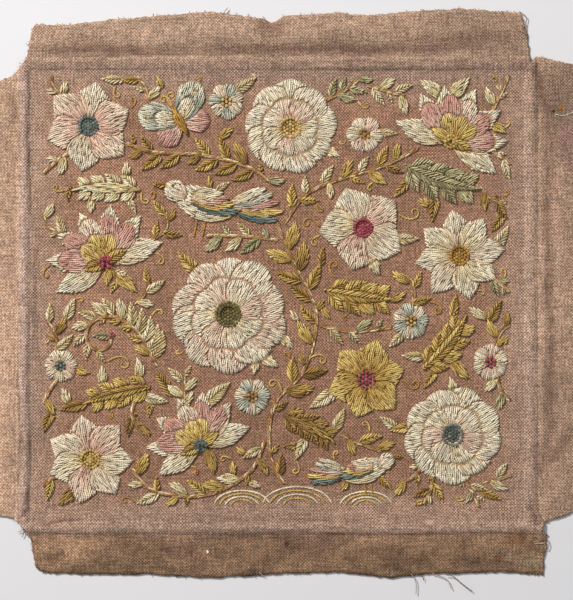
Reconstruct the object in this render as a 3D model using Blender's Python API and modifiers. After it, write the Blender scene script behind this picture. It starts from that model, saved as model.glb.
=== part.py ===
"""Crewel embroidery panel: a linen sheet with turn-unders, pressed ridges and wool worked in low relief."""

import math
import random
from collections import namedtuple

import bmesh
import bpy
import numpy as np
from mathutils import Vector

# Lengths below are millimetres. The model itself is in metres.
MM = 0.001

# The linen sheet: half its spread, its thickness, and the field inside the pressed ridges.
HALF_WIDE, HALF_HIGH = 177.0, 165.0
CLOTH_THICK = 1.2
FIELD_WEST, FIELD_EAST = -145.0, 141.5
FIELD_SOUTH, FIELD_NORTH = -131.9, 129.6
RIDGE_WIDE, RIDGE_HIGH, CREST = 8.0, 1.7, 4.0
RIDGE_ENDS = 10.0
CORNER_SPARE = 0.01
FLAP_LIFT = 1.1
CLOTH_STEP = 26.0

# The cut edge of each turn-under: places along it, and how far its two ends drift as it runs out.
Turn = namedtuple("Turn", "cut drift")
NORTH_EDGE = Turn(
    cut=((-149, 155.7), (-127.6, 155.7), (-104.4, 158.6), (-43.5, 163.3), (-10.4, 159.8), (-4.6, 156.3),
         (1.2, 160.4), (34.8, 162.7), (53.4, 161), (81.2, 163.9), (110.2, 165), (145, 162.7)),
    drift=((0, 0, 0), (0.15, 2.3, -1), (0.6, 4, -2.4), (1, 6.3, -6.3)))
SOUTH_EDGE = Turn(
    cut=((-149, -159.4), (-144, -161.7), (-138, -162.2), (-113.7, -162.9), (-85.3, -162.7), (-46.4, -165),
         (-9.3, -162.7), (27.3, -161.5), (58, -165), (78.3, -162.7), (125.3, -161.5), (145, -163.3)),
    drift=((0, 0, 0), (0.12, 3, 9), (0.36, 5, 8.6), (0.66, 6, 7.6), (1, 7.5, 7)))
# The lower right corner isn't cut in as far as the others.
CORNER_OUT = 6.0
EAST_EDGE = Turn(
    cut=((-136, 176.2), (-70, 175.4), (0, 177), (60, 176.1), (134, 175.2)),
    drift=((0, 0, 0), (0.1, 3.6, 2), (0.54, 0.7, 6.3), (0.78, -0.5, 9.2), (1, -1.3, 11)))
WEST_EDGE = Turn(
    cut=((-136, -175.6), (-80, -177), (-20, -175.9), (40, -176.8), (134, -176)),
    drift=((0, 0, 0), (0.19, -6.9, 5.6), (0.48, -10.3, 6.9), (1, -13.5, 7.5)))

# The wool: where it starts above the sheet, its edge, crown and layers, and how finely it is cut.
WOOL_FOOT = CLOTH_THICK + 0.3
WOOL_EDGE, WOOL_HIGH, LEVEL_HIGH, STEM_HIGH = 0.45, 1.0, 0.3, 0.9
STEM_STEP, PATH_STEP = 6.0, 1.2
BLOOM_FAR = 40.0
SMALL_STEPS, LARGE_STEPS, LARGE_LEAF, LOBED_STEPS = 2, 3, 15.0, 16
POINTS_A_PETAL = {"double": 4, "open": 4, "fan": 4, "daisy": 4}
LEAST_REACH = 2.5
OUTER_LEVELS = (0, 3)
HEART_SHARE = {"double": 0.2, "open": 0.2, "fan": 0.16, "daisy": 0.24}

# The part of the field that the wool fills, and the cells in which room is kept.
FIELD_LEFT, FIELD_RIGHT = -138.0, 134.0
FIELD_LOW, FIELD_HIGH = -124.0, 127.0
CELL = 0.5
SEED = 23

Form = namedtuple("Form", "foot belly tip")
FORMS = {
    "leaf": Form(0.12, 0.42, 0.95),
    "blade": Form(0.10, 0.50, 0.90),
    "pointed": Form(0.36, 0.44, 1.05),
    "round": Form(0.34, 0.64, 0.52),
    "body": Form(0.30, 0.45, 0.60),
    "ball": Form(0.05, 0.50, 0.50),
}


class Patch:
    """A petal, leaf or feather: a shape of one form about a bent centre line."""

    def __init__(self, x, y, turn, length, width, form, bend=0.0, wool="gold", level=0, fine=False,
                 core=True):
        self.x, self.y, self.turn = x, y, math.radians(turn)
        self.fine, self.core = fine, core
        self.length, self.width = length, width
        self.form, self.bend = FORMS[form], math.radians(bend)
        self.wool, self.level = wool, level

    def half_width(self, along):
        foot, belly, tip = self.form
        t = np.clip(along, 0.0, 1.0)
        rising = foot + (1 - foot) * np.sin(0.5 * np.pi * np.minimum(t / belly, 1.0))
        falling = np.cos(0.5 * np.pi * np.clip((t - belly) / (1 - belly), 0, 1)) ** tip
        return 0.5 * self.width * np.where(t < belly, rising, falling)

    def at(self, across, along, spare=0.0):
        """The place that is a share across and along the patch, with spare mm added at its edge."""
        across, along = np.broadcast_arrays(np.asarray(across, float), np.asarray(along, float))
        out = across * (self.half_width(along) + spare)
        angle = self.bend * along
        if abs(self.bend) < 1e-3:
            ahead, aside = self.length * along, np.zeros_like(along)
        else:
            radius = self.length / self.bend
            ahead, aside = radius * np.sin(angle), radius * (1 - np.cos(angle))
        ahead = ahead - out * np.sin(angle)
        aside = aside + out * np.cos(angle)
        c, s = math.cos(self.turn), math.sin(self.turn)
        return self.x + c * ahead - s * aside, self.y + s * ahead + c * aside

    def inside(self, x, y, spare=0.0):
        """Whether each place lies in the patch, grown by spare mm."""
        c, s = math.cos(self.turn), math.sin(self.turn)
        dx, dy = np.asarray(x, float) - self.x, np.asarray(y, float) - self.y
        ahead, aside = c * dx + s * dy, -s * dx + c * dy
        if abs(self.bend) < 1e-3:
            along, out = ahead / self.length, aside
        else:
            radius = self.length / self.bend
            sign = math.copysign(1.0, radius)
            along = np.arctan2(sign * ahead, sign * (radius - aside)) / self.bend
            out = radius - sign * np.hypot(ahead, radius - aside)
        edge = spare / self.length
        return (along > -edge) & (along < 1 + edge) & (np.abs(out) < self.half_width(along) + spare)

    def cloud(self, spare=0.0, gap=0.45):
        """Places all over the patch and spare mm round it, closer together than gap."""
        rows = int(self.length / gap) + 3
        lanes = int((self.width + 2 * spare) / gap) + 3
        edge = spare / self.length
        across, along = np.meshgrid(np.linspace(-1, 1, lanes), np.linspace(-edge, 1 + edge, rows))
        x, y = self.at(across, along, spare)
        return x.ravel(), y.ravel()


class Ground:
    """Which worked piece holds each cell of the field, so that pieces keep apart."""

    def __init__(self):
        self.wide = int((FIELD_RIGHT - FIELD_LEFT) / CELL) + 1
        self.high = int((FIELD_HIGH - FIELD_LOW) / CELL) + 1
        self.owner = np.zeros((self.high, self.wide), int)

    def cells(self, x, y):
        i = ((np.asarray(y) - FIELD_LOW) / CELL).astype(int)
        j = ((np.asarray(x) - FIELD_LEFT) / CELL).astype(int)
        return i, j

    def on_field(self, i, j):
        return (i >= 0) & (i < self.high) & (j >= 0) & (j < self.wide)

    def clear(self, x, y, own=0):
        i, j = self.cells(x, y)
        if not self.on_field(i, j).all():
            return False
        held = self.owner[i, j]
        return bool(((held == 0) | (held == own)).all())

    def claim(self, x, y, own):
        i, j = self.cells(x, y)
        good = self.on_field(i, j)
        self.owner[i[good], j[good]] = own


def smooth_path(points, step=PATH_STEP):
    """Points about step mm apart on a smooth curve through the given ones."""
    p = np.array(points, float)
    ends = np.vstack([2 * p[0] - p[1], p, 2 * p[-1] - p[-2]])
    out = []
    for a, b, c, d in zip(ends, ends[1:], ends[2:], ends[3:]):
        n = max(2, int(np.hypot(*(c - b)) / step))
        t = np.linspace(0, 1, n, endpoint=False)[:, None]
        out.append(0.5 * (2 * b + (c - a) * t + (2 * a - 5 * b + 4 * c - d) * t**2
                          + (3 * b - a - 3 * c + d) * t**3))
    return np.vstack([*out, p[-1:]])


class Work:
    """One worked piece: its patches from the lowest up, its lines and its knots."""

    def __init__(self, name, kind, wool):
        self.name, self.kind, self.wool = name, kind, wool
        self.patches, self.lines, self.knots = [], [], []


Line = namedtuple("Line", "path style wool")
Knot = namedtuple("Knot", "x y wool")

CLAIM_SPARE, TEST_SPARE = 0.25, 0.75
STEM_WIDE, TENDRIL_WIDE = 1.9, 0.9
LEAST_DEEP = 2.0
NEAR_FOOT, NEAR_SHARE = 4.6, 0.55
FOOT_DEEP = {"double": 6.0, "open": 7.0, "fan": 9.0, "daisy": 4.0, "lobed": 3.5}
FINE_LINES = 999

# Filling the gaps: the room asked for at each pass, and the least room of a sprig and of a leaf
# that is still cut as a solid.
ROOMS, TRIES = (11, 9, 7.6, 6, 4.8, 3.9, 3.2), 900
SPRIG_ROOM, FINE_ROOM = 7.5, 4.0
TENDRIL_PITCH, TENDRIL_REACH = 26, 11
LEAF_WOOLS = ("gold_leaf", "gold_leaf", "gold_leaf", "sage_leaf", "olive_leaf", "cream_leaf",
              "cream_leaf")
CURLS_AFTER, CURL_TRIES = {7.6: 6.0, 4.8: 4.2, 3.2: 2.8}, 400

Bloom = namedtuple("Bloom", "name kind x y reach petals turn wool heart")
BLOOMS = (
    Bloom("bloom_summit", "double", 6, 96, 28, 9, 90, "cream", "gold"),
    Bloom("bloom_north_west", "open", -111, 97, 27, 6, 80, "blush", "teal"),
    Bloom("bloom_north_east", "fan", 99, 88, 34, 7, 62, "rose", "gold"),
    Bloom("bloom_west", "fan", -101, 18, 35, 7, 116, "rose", "crimson"),
    Bloom("bloom_east", "open", 104, 22, 27, 8, 100, "cream", "ochre"),
    Bloom("bloom_middle", "double", -30, -12, 35, 10, 90, "blush", "olive"),
    Bloom("bloom_inner_east", "open", 48, 38, 26, 5, 40, "ivory", "crimson"),
    Bloom("bloom_south_west", "open", -110, -96, 27, 7, 100, "ivory", "gold"),
    Bloom("bloom_south", "fan", -46, -88, 32, 7, 118, "rose", "teal"),
    Bloom("bloom_south_east", "double", 100, -82, 29, 9, 70, "cream", "teal"),
    Bloom("bloom_inner_south", "open", 50, -50, 24, 6, 15, "gold", "crimson"),
    Bloom("daisy_1", "daisy", -31, 111, 11, 7, 20, "pale_blue", "gold"),
    Bloom("daisy_2", "daisy", 49, 92, 11, 6, 0, "ivory", "ochre"),
    Bloom("daisy_3", "daisy", -127, -42, 10, 7, 10, "ivory", "teal"),
    Bloom("daisy_4", "daisy", 76, -16, 11, 7, 5, "pale_blue", "gold"),
    Bloom("daisy_5", "daisy", 122, -40, 11, 6, 25, "ivory", "crimson"),
    Bloom("daisy_6", "daisy", -16, -60, 11, 7, 15, "pale_blue", "ochre"),
)

Leaf = namedtuple("Leaf", "name kind x y turn length width bend wool")
LEAVES = (
    Leaf("big_leaf_1", "lobed", 25, 2, -16, 42, 25, 18, "gold_leaf"),
    Leaf("big_leaf_2", "lobed", 71, 75, -32, 50, 27, 30, "sage_leaf"),
    Leaf("big_leaf_3", "lobed", -74, -54, 187, 42, 21, 14, "gold_leaf"),
    Leaf("big_leaf_4", "lobed", 1, -71, -16, 36, 20, -22, "olive_leaf"),
    Leaf("big_leaf_5", "lobed", 82, -44, 34, 42, 23, 34, "gold_leaf"),
    Leaf("big_leaf_6", "lobed", -80, 60, 174, 42, 20, 12, "cream_leaf"),
)

Scroll = namedtuple("Scroll", "name x y turn reach hand wool")
SCROLL = Scroll("scroll_leaf", -71, -44, 112, 65, 1, "cream_leaf")

Bird = namedtuple("Bird", "name x y facing scale")
BIRDS = (Bird("bird_perched", -42, 50, -1, 1.0), Bird("bird_standing", 48, -104, 1, 0.74))

Butterfly = namedtuple("Butterfly", "name x y turn")
BUTTERFLY = Butterfly("butterfly", -58, 100, 118)

Stem = namedtuple("Stem", "name route leaf pitch wool")
STEMS = (
    Stem("trunk", ((4, -114), (-6, -92), (-3, -64), (14, -44), (21, -12), (8, 18), (-1, 42), (5, 70)),
         15, 13, "olive_leaf"),
    Stem("spray_south_west", ((-8, -84), (-18, -104), (-44, -117), (-74, -114), (-88, -98)),
         13, 11, "gold_leaf"),
    Stem("spray_south_east", ((-1, -68), (20, -72), (44, -86), (66, -92), (78, -86)), 13, 11, "gold_leaf"),
    Stem("spray_east", ((22, -18), (40, -22), (62, -20), (84, -16), (96, -2)), 13, 11, "sage_leaf"),
    Stem("spray_north_east", ((2, 40), (16, 58), (40, 68), (60, 74), (80, 84)), 13, 11, "gold_leaf"),
    Stem("spray_north_west", ((2, 56), (-16, 72), (-44, 80), (-74, 82), (-92, 88)), 13, 11, "olive_leaf"),
    Stem("spray_west", ((4, 30), (-20, 33), (-46, 33), (-66, 28), (-84, 16)), 13, 11, "sage_leaf"),
)

HILLS = ((-22, 16), (10, 20), (50, 15))
HILL_FOOT = -123.0


def ring_of_petals(work, bloom, reach, count, wide, form, wool, rng, foot=0.16, level=0, span=360):
    """Petals, each with its foot near the bloom's middle, all round it or over a span of degrees."""
    for k in range(count):
        share = k / count if span == 360 else k / (count - 1) - 0.5
        angle = bloom.turn + span * share + rng.uniform(-3, 3)
        across = math.radians(angle)
        x = bloom.x + foot * reach * math.cos(across)
        y = bloom.y + foot * reach * math.sin(across)
        length = reach * (1 - foot) * rng.uniform(0.93, 1.03)
        bend = rng.uniform(-12, 12)
        work.patches.append(Patch(x, y, angle - bend / 2, length, wide, form, bend, wool, level))


def heart_knots(work, x, y, reach, wool, pitch=1.9):
    """French knots packed in a round heart."""
    rings = max(1, round(reach / pitch))
    work.knots.append(Knot(x, y, wool))
    for ring in range(1, rings + 1):
        count = 6 * ring
        for k in range(count):
            angle = 2 * math.pi * (k + 0.5 * (ring % 2)) / count
            radius = reach * ring / rings
            work.knots.append(Knot(x + radius * math.cos(angle), y + radius * math.sin(angle), wool))


def worked_bloom(bloom, rng):
    work = Work(bloom.name, bloom.kind, bloom.wool)
    size, petals = bloom.reach, bloom.petals
    chord = 2 * size * math.sin(math.pi / petals)
    if bloom.kind == "double":
        ring_of_petals(work, bloom, size, petals, 1.15 * chord, "round", bloom.wool, rng)
        inner = bloom._replace(turn=bloom.turn + 180 / petals)
        count = petals - 2
        ring_of_petals(work, inner, 0.62 * size, count, 1.25 * size * math.sin(math.pi / count), "round",
                       "ivory", rng, 0.22, 1)
        heart_knots(work, bloom.x, bloom.y, 0.2 * size, bloom.heart)
    elif bloom.kind == "open":
        ring_of_petals(work, bloom, size, petals, 0.8 * chord, "pointed", bloom.wool, rng)
        heart_knots(work, bloom.x, bloom.y, 0.19 * size, bloom.heart)
    elif bloom.kind == "daisy":
        ring_of_petals(work, bloom, size, petals, 0.875 * chord, "round", bloom.wool, rng, 0.2)
        heart_knots(work, bloom.x, bloom.y, 0.22 * size, bloom.heart)
    else:
        ring_of_petals(work, bloom, size, petals, 0.42 * size, "pointed", "cream", rng, 0.1, 0, 190)
        ring_of_petals(work, bloom, 0.78 * size, petals - 2, 0.4 * size, "round", bloom.wool, rng, 0.1,
                       1, 120)
        ring_of_petals(work, bloom, 0.5 * size, 3, 0.3 * size, "round", "gold", rng, 0.0, 2, 66)
        ring_of_petals(work, bloom, 0.42 * size, 2, 0.2 * size, "leaf", "gold_leaf", rng, 0.0, 3, 170)
        heart_knots(work, bloom.x, bloom.y, 0.1 * size, bloom.heart)
    return work


def worked_leaf(leaf):
    """A large leaf: pairs of lobes that lean forward from a bent midrib, and a blade over them."""
    work = Work(leaf.name, leaf.kind, leaf.wool)
    rib = Patch(leaf.x, leaf.y, leaf.turn, leaf.length, leaf.width, "leaf", leaf.bend)
    pairs = 4
    for k in range(pairs):
        along = 0.1 + 0.62 * k / (pairs - 1)
        x, y = (float(v) for v in rib.at(0, along))
        heading = leaf.turn + leaf.bend * along
        length = leaf.width * (0.62 - 0.18 * abs(k / (pairs - 1) - 0.35))
        for side in (-1, 1):
            work.patches.append(Patch(x, y, heading + side * 52, length, 0.46 * length + 2, "leaf",
                                      -side * 22, leaf.wool))
    work.patches.append(Patch(leaf.x, leaf.y, leaf.turn, leaf.length, 0.3 * leaf.width, "leaf", leaf.bend,
                              leaf.wool, 1))
    return work


def worked_scroll(scroll):
    """A leaf whose midrib winds into a loop, with lobes along its outer side."""
    work = Work(scroll.name, "scroll", scroll.wool)
    rib = curl(scroll.x, scroll.y, scroll.turn, scroll.reach, scroll.hand)
    turns = headings(rib)
    count = 13
    for k in range(count):
        spot = int(4 + 46 * k / (count - 1))
        size = 17.5 - 0.72 * k
        work.patches.append(Patch(*rib[spot], turns[spot] - scroll.hand * 58, size, 0.5 * size, "leaf",
                                  scroll.hand * 26, scroll.wool))
    for k in range(5):
        spot = 6 + 6 * k
        size = 11 - 1.1 * k
        work.patches.append(Patch(*rib[spot], turns[spot] + scroll.hand * 50, size, 0.46 * size, "leaf",
                                  -scroll.hand * 24, "gold_leaf"))
    work.lines.append(Line(rib, "stem", "gold"))
    work.knots += [Knot(*rib[-1] + np.array(spot), "crimson") for spot in ((0, 0), (1.8, 0.6), (0.6, 1.9))]
    return work


def worked_bird(bird):
    """A songbird: tail feathers, a full breast, a head with its beak, and a folded wing over them."""
    work = Work(bird.name, "bird", "cream")
    m, s = bird.facing, bird.scale

    def add(dx, dy, turn, length, width, form, bend, wool, level=0, fine=False):
        heading = turn if m > 0 else 180 - turn
        work.patches.append(Patch(bird.x + m * dx * s, bird.y + dy * s, heading, length * s, width * s, form,
                                  m * bend, wool, level, fine))

    for k, wool in enumerate(("teal", "gold", "rose", "pale_blue", "cream")):
        add(-12, -1 + 0.8 * k, 200 - 9 * k, 34 - 3 * abs(k - 1), 6.5, "blade", -14, wool)
    add(-15, -3, 12, 38, 20, "body", 16, "cream")
    add(12, 5, 34, 15, 13, "ball", 0, "ivory", 1)
    add(23.5, 12.5, 8, 8, 4.2, "leaf", -10, "ochre", 1)
    for k, wool in enumerate(("teal", "gold", "rose", "cream")):
        add(9, 2 + 1.6 * k, 196 - 5 * k, 29 - 3.4 * k, 8, "blade", -12, wool, 1, k > 0)
    for dx in (1, 6):
        leg = [(bird.x + m * (dx + t) * s, bird.y - (8 + 9 * t / 2) * s) for t in (0, 0.8, 2)]
        work.lines.append(Line(smooth_path(leg), "tendril", "ochre"))
    work.knots.append(Knot(bird.x + m * 20 * s, bird.y + 12.5 * s, "olive"))
    return work


def worked_butterfly(fly):
    """A butterfly seen from above, with two pairs of wings and two feelers."""
    work = Work(fly.name, "butterfly", "gold")
    x, y, turn = fly.x, fly.y, fly.turn
    ahead = np.array([math.cos(math.radians(turn)), math.sin(math.radians(turn))])
    for side in (1, -1):
        work.patches.append(Patch(x, y, turn + side * 112, 18, 14, "round", side * 14, "rose"))
        work.patches.append(Patch(x, y, turn + side * 56, 25, 17, "round", -side * 12, "pale_blue"))
    for side in (1, -1):
        work.patches.append(Patch(x, y, turn + side * 56, 15, 9, "round", -side * 8, "cream", 1))
        wing = math.radians(turn + side * 56)
        work.knots += [Knot(x + r * math.cos(wing), y + r * math.sin(wing), "gold") for r in (18, 20)]
        work.lines.append(Line(curl(*(x, y) + 9 * ahead, turn + side * 14, 12, -side), "tendril", "gold"))
    work.patches.append(Patch(*(x, y) - 10 * ahead, turn, 20, 5, "blade", 0, "ochre", 2))
    return work


def headings(path):
    steps = np.gradient(path, axis=0)
    return np.degrees(np.arctan2(steps[:, 1], steps[:, 0]))


def ribbon(path, wide):
    """Places all over a stem wide mm across."""
    turn = np.radians(headings(path))
    aside = np.stack([-np.sin(turn), np.cos(turn)], 1)
    lanes = np.linspace(-wide / 2, wide / 2, max(3, int(wide / 0.4) + 1))
    spots = path[None] + lanes[:, None, None] * aside[None]
    return spots[..., 0].ravel(), spots[..., 1].ravel()


def clear_run(ground, path, wide, own=0):
    """The longest stretch of a path whose stem keeps clear of the pieces already placed."""
    free = []
    turn = np.radians(headings(path))
    for (x, y), angle in zip(path, turn):
        across = np.linspace(-wide / 2 - TEST_SPARE, wide / 2 + TEST_SPARE, 9)
        free.append(ground.clear(x - across * math.sin(angle), y + across * math.cos(angle), own))
    best, start = (0, 0), 0
    for k, good in enumerate([*free, False]):
        if not good:
            if k - start > best[1] - best[0]:
                best = (start, k)
            start = k + 1
    return path[best[0]:best[1]]


def fits(ground, patch, own):
    """Whether a leaf lies clear of all else, its foot alone touching its own stem."""
    x, y = patch.cloud(TEST_SPARE)
    px, py = patch.x, patch.y
    near = np.hypot(x - px, y - py) < max(NEAR_FOOT, NEAR_SHARE * patch.length)
    return ground.clear(x[near], y[near], own) and ground.clear(x[~near], y[~near])


def place(ground, patch, own):
    ground.claim(*patch.cloud(CLAIM_SPARE), own)


def set_leaves(work, ground, own, path, pitch, size, rng, wool):
    """Leaves that spring from a stem by turns to its left and right, smaller where there is less room."""
    walk = np.concatenate([[0], np.cumsum(np.hypot(*np.diff(path, axis=0).T))])
    turns = headings(path)
    side = 1
    for spot in np.arange(0.45 * pitch, walk[-1] - 1, pitch / 2):
        k = int(np.searchsorted(walk, spot))
        side = -side
        for share in (1.15, 0.92, 0.74, 0.58):
            lean = rng.uniform(38, 62)
            length = size * share * rng.uniform(0.9, 1.1)
            leaf = Patch(*path[k], turns[k] + side * lean, length, 0.44 * length, "leaf",
                         -side * rng.uniform(5, 28), wool, core=False)
            if fits(ground, leaf, own):
                place(ground, leaf, own)
                work.patches.insert(0, leaf)
                break


def curl(x, y, turn, reach, hand):
    """A tendril's path: out along a slow bend and round into an open loop."""
    t = np.linspace(0, 1, 60)
    bend = hand * (0.35 * t + 5.6 * t**2.6)
    heading = math.radians(turn) + np.cumsum(np.gradient(bend))
    step = reach / 60 * 1.35
    return np.stack([x + np.cumsum(np.cos(heading)) * step, y + np.cumsum(np.sin(heading)) * step], 1)


def set_tendrils(work, ground, path, pitch, size, rng):
    """Tendrils off a stem wherever its leaves leave room."""
    walk = np.concatenate([[0], np.cumsum(np.hypot(*np.diff(path, axis=0).T))])
    turns = headings(path)
    for spot in np.arange(4, walk[-1] - 2, pitch):
        k = int(np.searchsorted(walk, spot))
        for side in (1, -1):
            for share in (1.25, 1.0, 0.75):
                loop = curl(*path[k], turns[k] + side * rng.uniform(25, 50), size * share, side)
                x, y = loop[8:, 0], loop[8:, 1]
                clear = all(ground.clear(x + dx, y + dy) for dx in (-1, 0, 1) for dy in (-1, 0, 1))
                if clear:
                    ground.claim(*ribbon(loop, TENDRIL_WIDE + 0.6), FINE_LINES)
                    work.lines.append(Line(loop, "tendril", "gold"))
                    break


def nearest_owned(ground, x, y, far):
    """The closest held cell to a place, as its distance, place and owner, looking far mm round it."""
    (i,), (j,) = ground.cells([x], [y])
    reach = int(far / CELL)
    low_i, low_j = max(0, i - reach), max(0, j - reach)
    window = ground.owner[low_i:i + reach + 1, low_j:j + reach + 1]
    held_i, held_j = np.nonzero(window)
    if len(held_i) == 0:
        return None
    px = FIELD_LEFT + (held_j + low_j + 0.5) * CELL
    py = FIELD_LOW + (held_i + low_i + 0.5) * CELL
    gaps = np.hypot(px - x, py - y)
    k = int(gaps.argmin())
    return gaps[k], px[k], py[k], int(window[held_i[k], held_j[k]])


def fill_gap(works, ground, x, y, rng, room):
    """A small sprig or leaf that grows out of the nearest piece into an open place."""
    found = nearest_owned(ground, x, y, room + 6)
    if found is None or found[0] < room or found[3] > len(works):
        return
    gap, px, py, own = found
    work = works[own - 1]
    heading = math.degrees(math.atan2(y - py, x - px))
    back = math.radians(heading)
    deep = FOOT_DEEP.get(work.kind, LEAST_DEEP)
    inward = back
    if own <= len(BLOOMS):
        bloom = BLOOMS[own - 1]
        inward = math.atan2(py - bloom.y, px - bloom.x)
    foot = (px - deep * math.cos(inward), py - deep * math.sin(inward))
    wool = rng.choice(LEAF_WOOLS)
    if room > SPRIG_ROOM:
        bow = rng.choice((-1, 1)) * 2.5
        mid = (px + 0.6 * gap * math.cos(back) - bow * math.sin(back),
               py + 0.6 * gap * math.sin(back) + bow * math.cos(back))
        end = (px + 1.45 * gap * math.cos(back), py + 1.45 * gap * math.sin(back))
        path = clear_run(ground, smooth_path((foot, mid, end)), STEM_WIDE, own)
        if len(path) < 6:
            return
        ground.claim(*ribbon(path, STEM_WIDE + 2 * CLAIM_SPARE), own)
        work.lines.insert(0, Line(path, "stem", wool))
        set_leaves(work, ground, own, path, 8, 10.5, rng, wool)
        tip = Patch(*path[-3], headings(path)[-1], 10, 5.4, "leaf", rng.uniform(-15, 15), wool, core=False)
        if fits(ground, tip, own):
            place(ground, tip, own)
            work.patches.insert(0, tip)
        return
    for length in (deep + 2.0 * gap, deep + 1.6 * gap, deep + 1.2 * gap):
        for lean in (0, 14, -14):
            leaf = Patch(*foot, heading + lean, length, 0.42 * length, "leaf", rng.uniform(-18, 18), wool,
                         fine=room < FINE_ROOM, core=False)
            if fits(ground, leaf, own):
                place(ground, leaf, own)
                work.patches.insert(0, leaf)
                return


def fill_curl(works, ground, x, y, rng, room):
    """A fine curl that grows out of the nearest piece into an open place."""
    found = nearest_owned(ground, x, y, room + 4)
    if found is None or found[0] < room or found[3] > len(works):
        return
    gap, px, py, own = found
    heading = math.degrees(math.atan2(y - py, x - px))
    hand = rng.choice((-1, 1))
    for reach in (2.2 * gap, 1.7 * gap, 1.3 * gap):
        loop = curl(px, py, heading - hand * 30, reach, hand)
        outer = loop[14:]
        if all(ground.clear(outer[:, 0] + dx, outer[:, 1] + dy) for dx in (-1, 0, 1) for dy in (-1, 0, 1)):
            ground.claim(*ribbon(loop, TENDRIL_WIDE + 0.6), FINE_LINES)
            works[own - 1].lines.append(Line(loop, "tendril", rng.choice(("gold", "ochre"))))
            return


def hill_lines(ground):
    """Rounded hillocks under the trunk, each worked as a few nested bows."""
    work = Work("hillocks", "lines", "cream")
    for x, wide in HILLS:
        for k in range(4):
            reach = wide * (1 - 0.2 * k)
            t = np.linspace(0.04 * math.pi, 0.96 * math.pi, 30)
            bow = np.stack([x + reach * np.cos(t), HILL_FOOT + 0.55 * reach * np.sin(t)], 1)
            work.lines.append(Line(bow, "hill", ("cream", "gold")[k % 2]))
            ground.claim(*ribbon(bow, 2.0), FINE_LINES)
    return work


def layout():
    """All worked pieces, in the order in which they are placed."""
    rng = random.Random(SEED)
    ground = Ground()
    works = [worked_bloom(bloom, rng) for bloom in BLOOMS] + [worked_leaf(leaf) for leaf in LEAVES]
    works += [worked_scroll(SCROLL), *(worked_bird(bird) for bird in BIRDS), worked_butterfly(BUTTERFLY)]
    for own, work in enumerate(works, 1):
        for patch in work.patches:
            place(ground, patch, own)
        for line in work.lines:
            ground.claim(*ribbon(line.path, STEM_WIDE), own if line.style == "stem" else FINE_LINES)
    hills = hill_lines(ground)
    sprays = []
    for stem in STEMS:
        own = len(works) + 1
        work = Work(stem.name, "spray", stem.wool)
        path = clear_run(ground, smooth_path(stem.route), STEM_WIDE)
        ground.claim(*ribbon(path, STEM_WIDE + 2 * CLAIM_SPARE), own)
        work.lines.append(Line(path, "stem", stem.wool))
        sprays.append((own, work, path, stem))
        works.append(work)
    for _, work, path, _ in sprays:
        set_tendrils(work, ground, path, TENDRIL_PITCH, TENDRIL_REACH, rng)
    for own, work, path, stem in sprays:
        set_leaves(work, ground, own, path, stem.pitch, stem.leaf, rng, stem.wool)
    for room in ROOMS:
        for _ in range(TRIES):
            x = rng.uniform(FIELD_LEFT + 1, FIELD_RIGHT - 1)
            y = rng.uniform(FIELD_LOW + 1, FIELD_HIGH - 1)
            fill_gap(works, ground, x, y, rng, room)
        if room in CURLS_AFTER:
            for _ in range(CURL_TRIES):
                x = rng.uniform(FIELD_LEFT + 1, FIELD_RIGHT - 1)
                y = rng.uniform(FIELD_LOW + 1, FIELD_HIGH - 1)
                fill_curl(works, ground, x, y, rng, CURLS_AFTER[room])
    return [*works, hills], ground


# Colours by eye, as sRGB hex values: the linen and each kind of wool.
COLOURS = {
    "linen": "A0785F", "cream": "D8CBA8", "ivory": "D2C5A2", "blush": "D6B49C", "rose": "C27C74",
    "gold": "C0A24C", "pale_blue": "A9B2A2", "gold_leaf": "B0923F", "sage_leaf": "8E8F72",
    "olive_leaf": "7E7436", "cream_leaf": "C9BE94",
}
ROUGHNESS = 0.9


def linear(hex_colour):
    channels = [int(hex_colour[k:k + 2], 16) / 255 for k in (0, 2, 4)]
    return [c / 12.92 if c < 0.04045 else ((c + 0.055) / 1.055) ** 2.4 for c in channels]


def make_material(name):
    material = bpy.data.materials.new(name)
    material.use_nodes = True
    shader = material.node_tree.nodes["Principled BSDF"]
    shader.inputs["Base Color"].default_value = (*linear(COLOURS[name]), 1)
    shader.inputs["Roughness"].default_value = ROUGHNESS
    shader.inputs["Metallic"].default_value = 0
    return material


def add_object(name, bm, material):
    mesh = bpy.data.meshes.new(name)
    bm.to_mesh(mesh)
    bm.free()
    piece = bpy.data.objects.new(name, mesh)
    piece.data.materials.append(material)
    panel.objects.link(piece)
    return piece


# The sheet: its cut edge, ridges and turn-unders.

def along_table(value, table, column=1):
    """A value read from a short table of places by straight runs between its rows."""
    rows = np.array(table, float)
    return np.interp(value, rows[:, 0], rows[:, column])


def ridge_height(x, y):
    """How high the pressed ridge stands at a place."""
    low = np.maximum(FIELD_WEST - x, x - FIELD_EAST)
    side = np.maximum(FIELD_SOUTH - y, y - FIELD_NORTH)
    height = 0.0
    for away, other in ((low, side), (side, low)):
        share = np.clip(away / RIDGE_WIDE, 0, 1)
        fade = np.clip((RIDGE_ENDS - other) / (RIDGE_ENDS - CREST), 0, 1)
        height = np.maximum(height, RIDGE_HIGH * fade * np.sin(np.pi * share))
    return height


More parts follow.
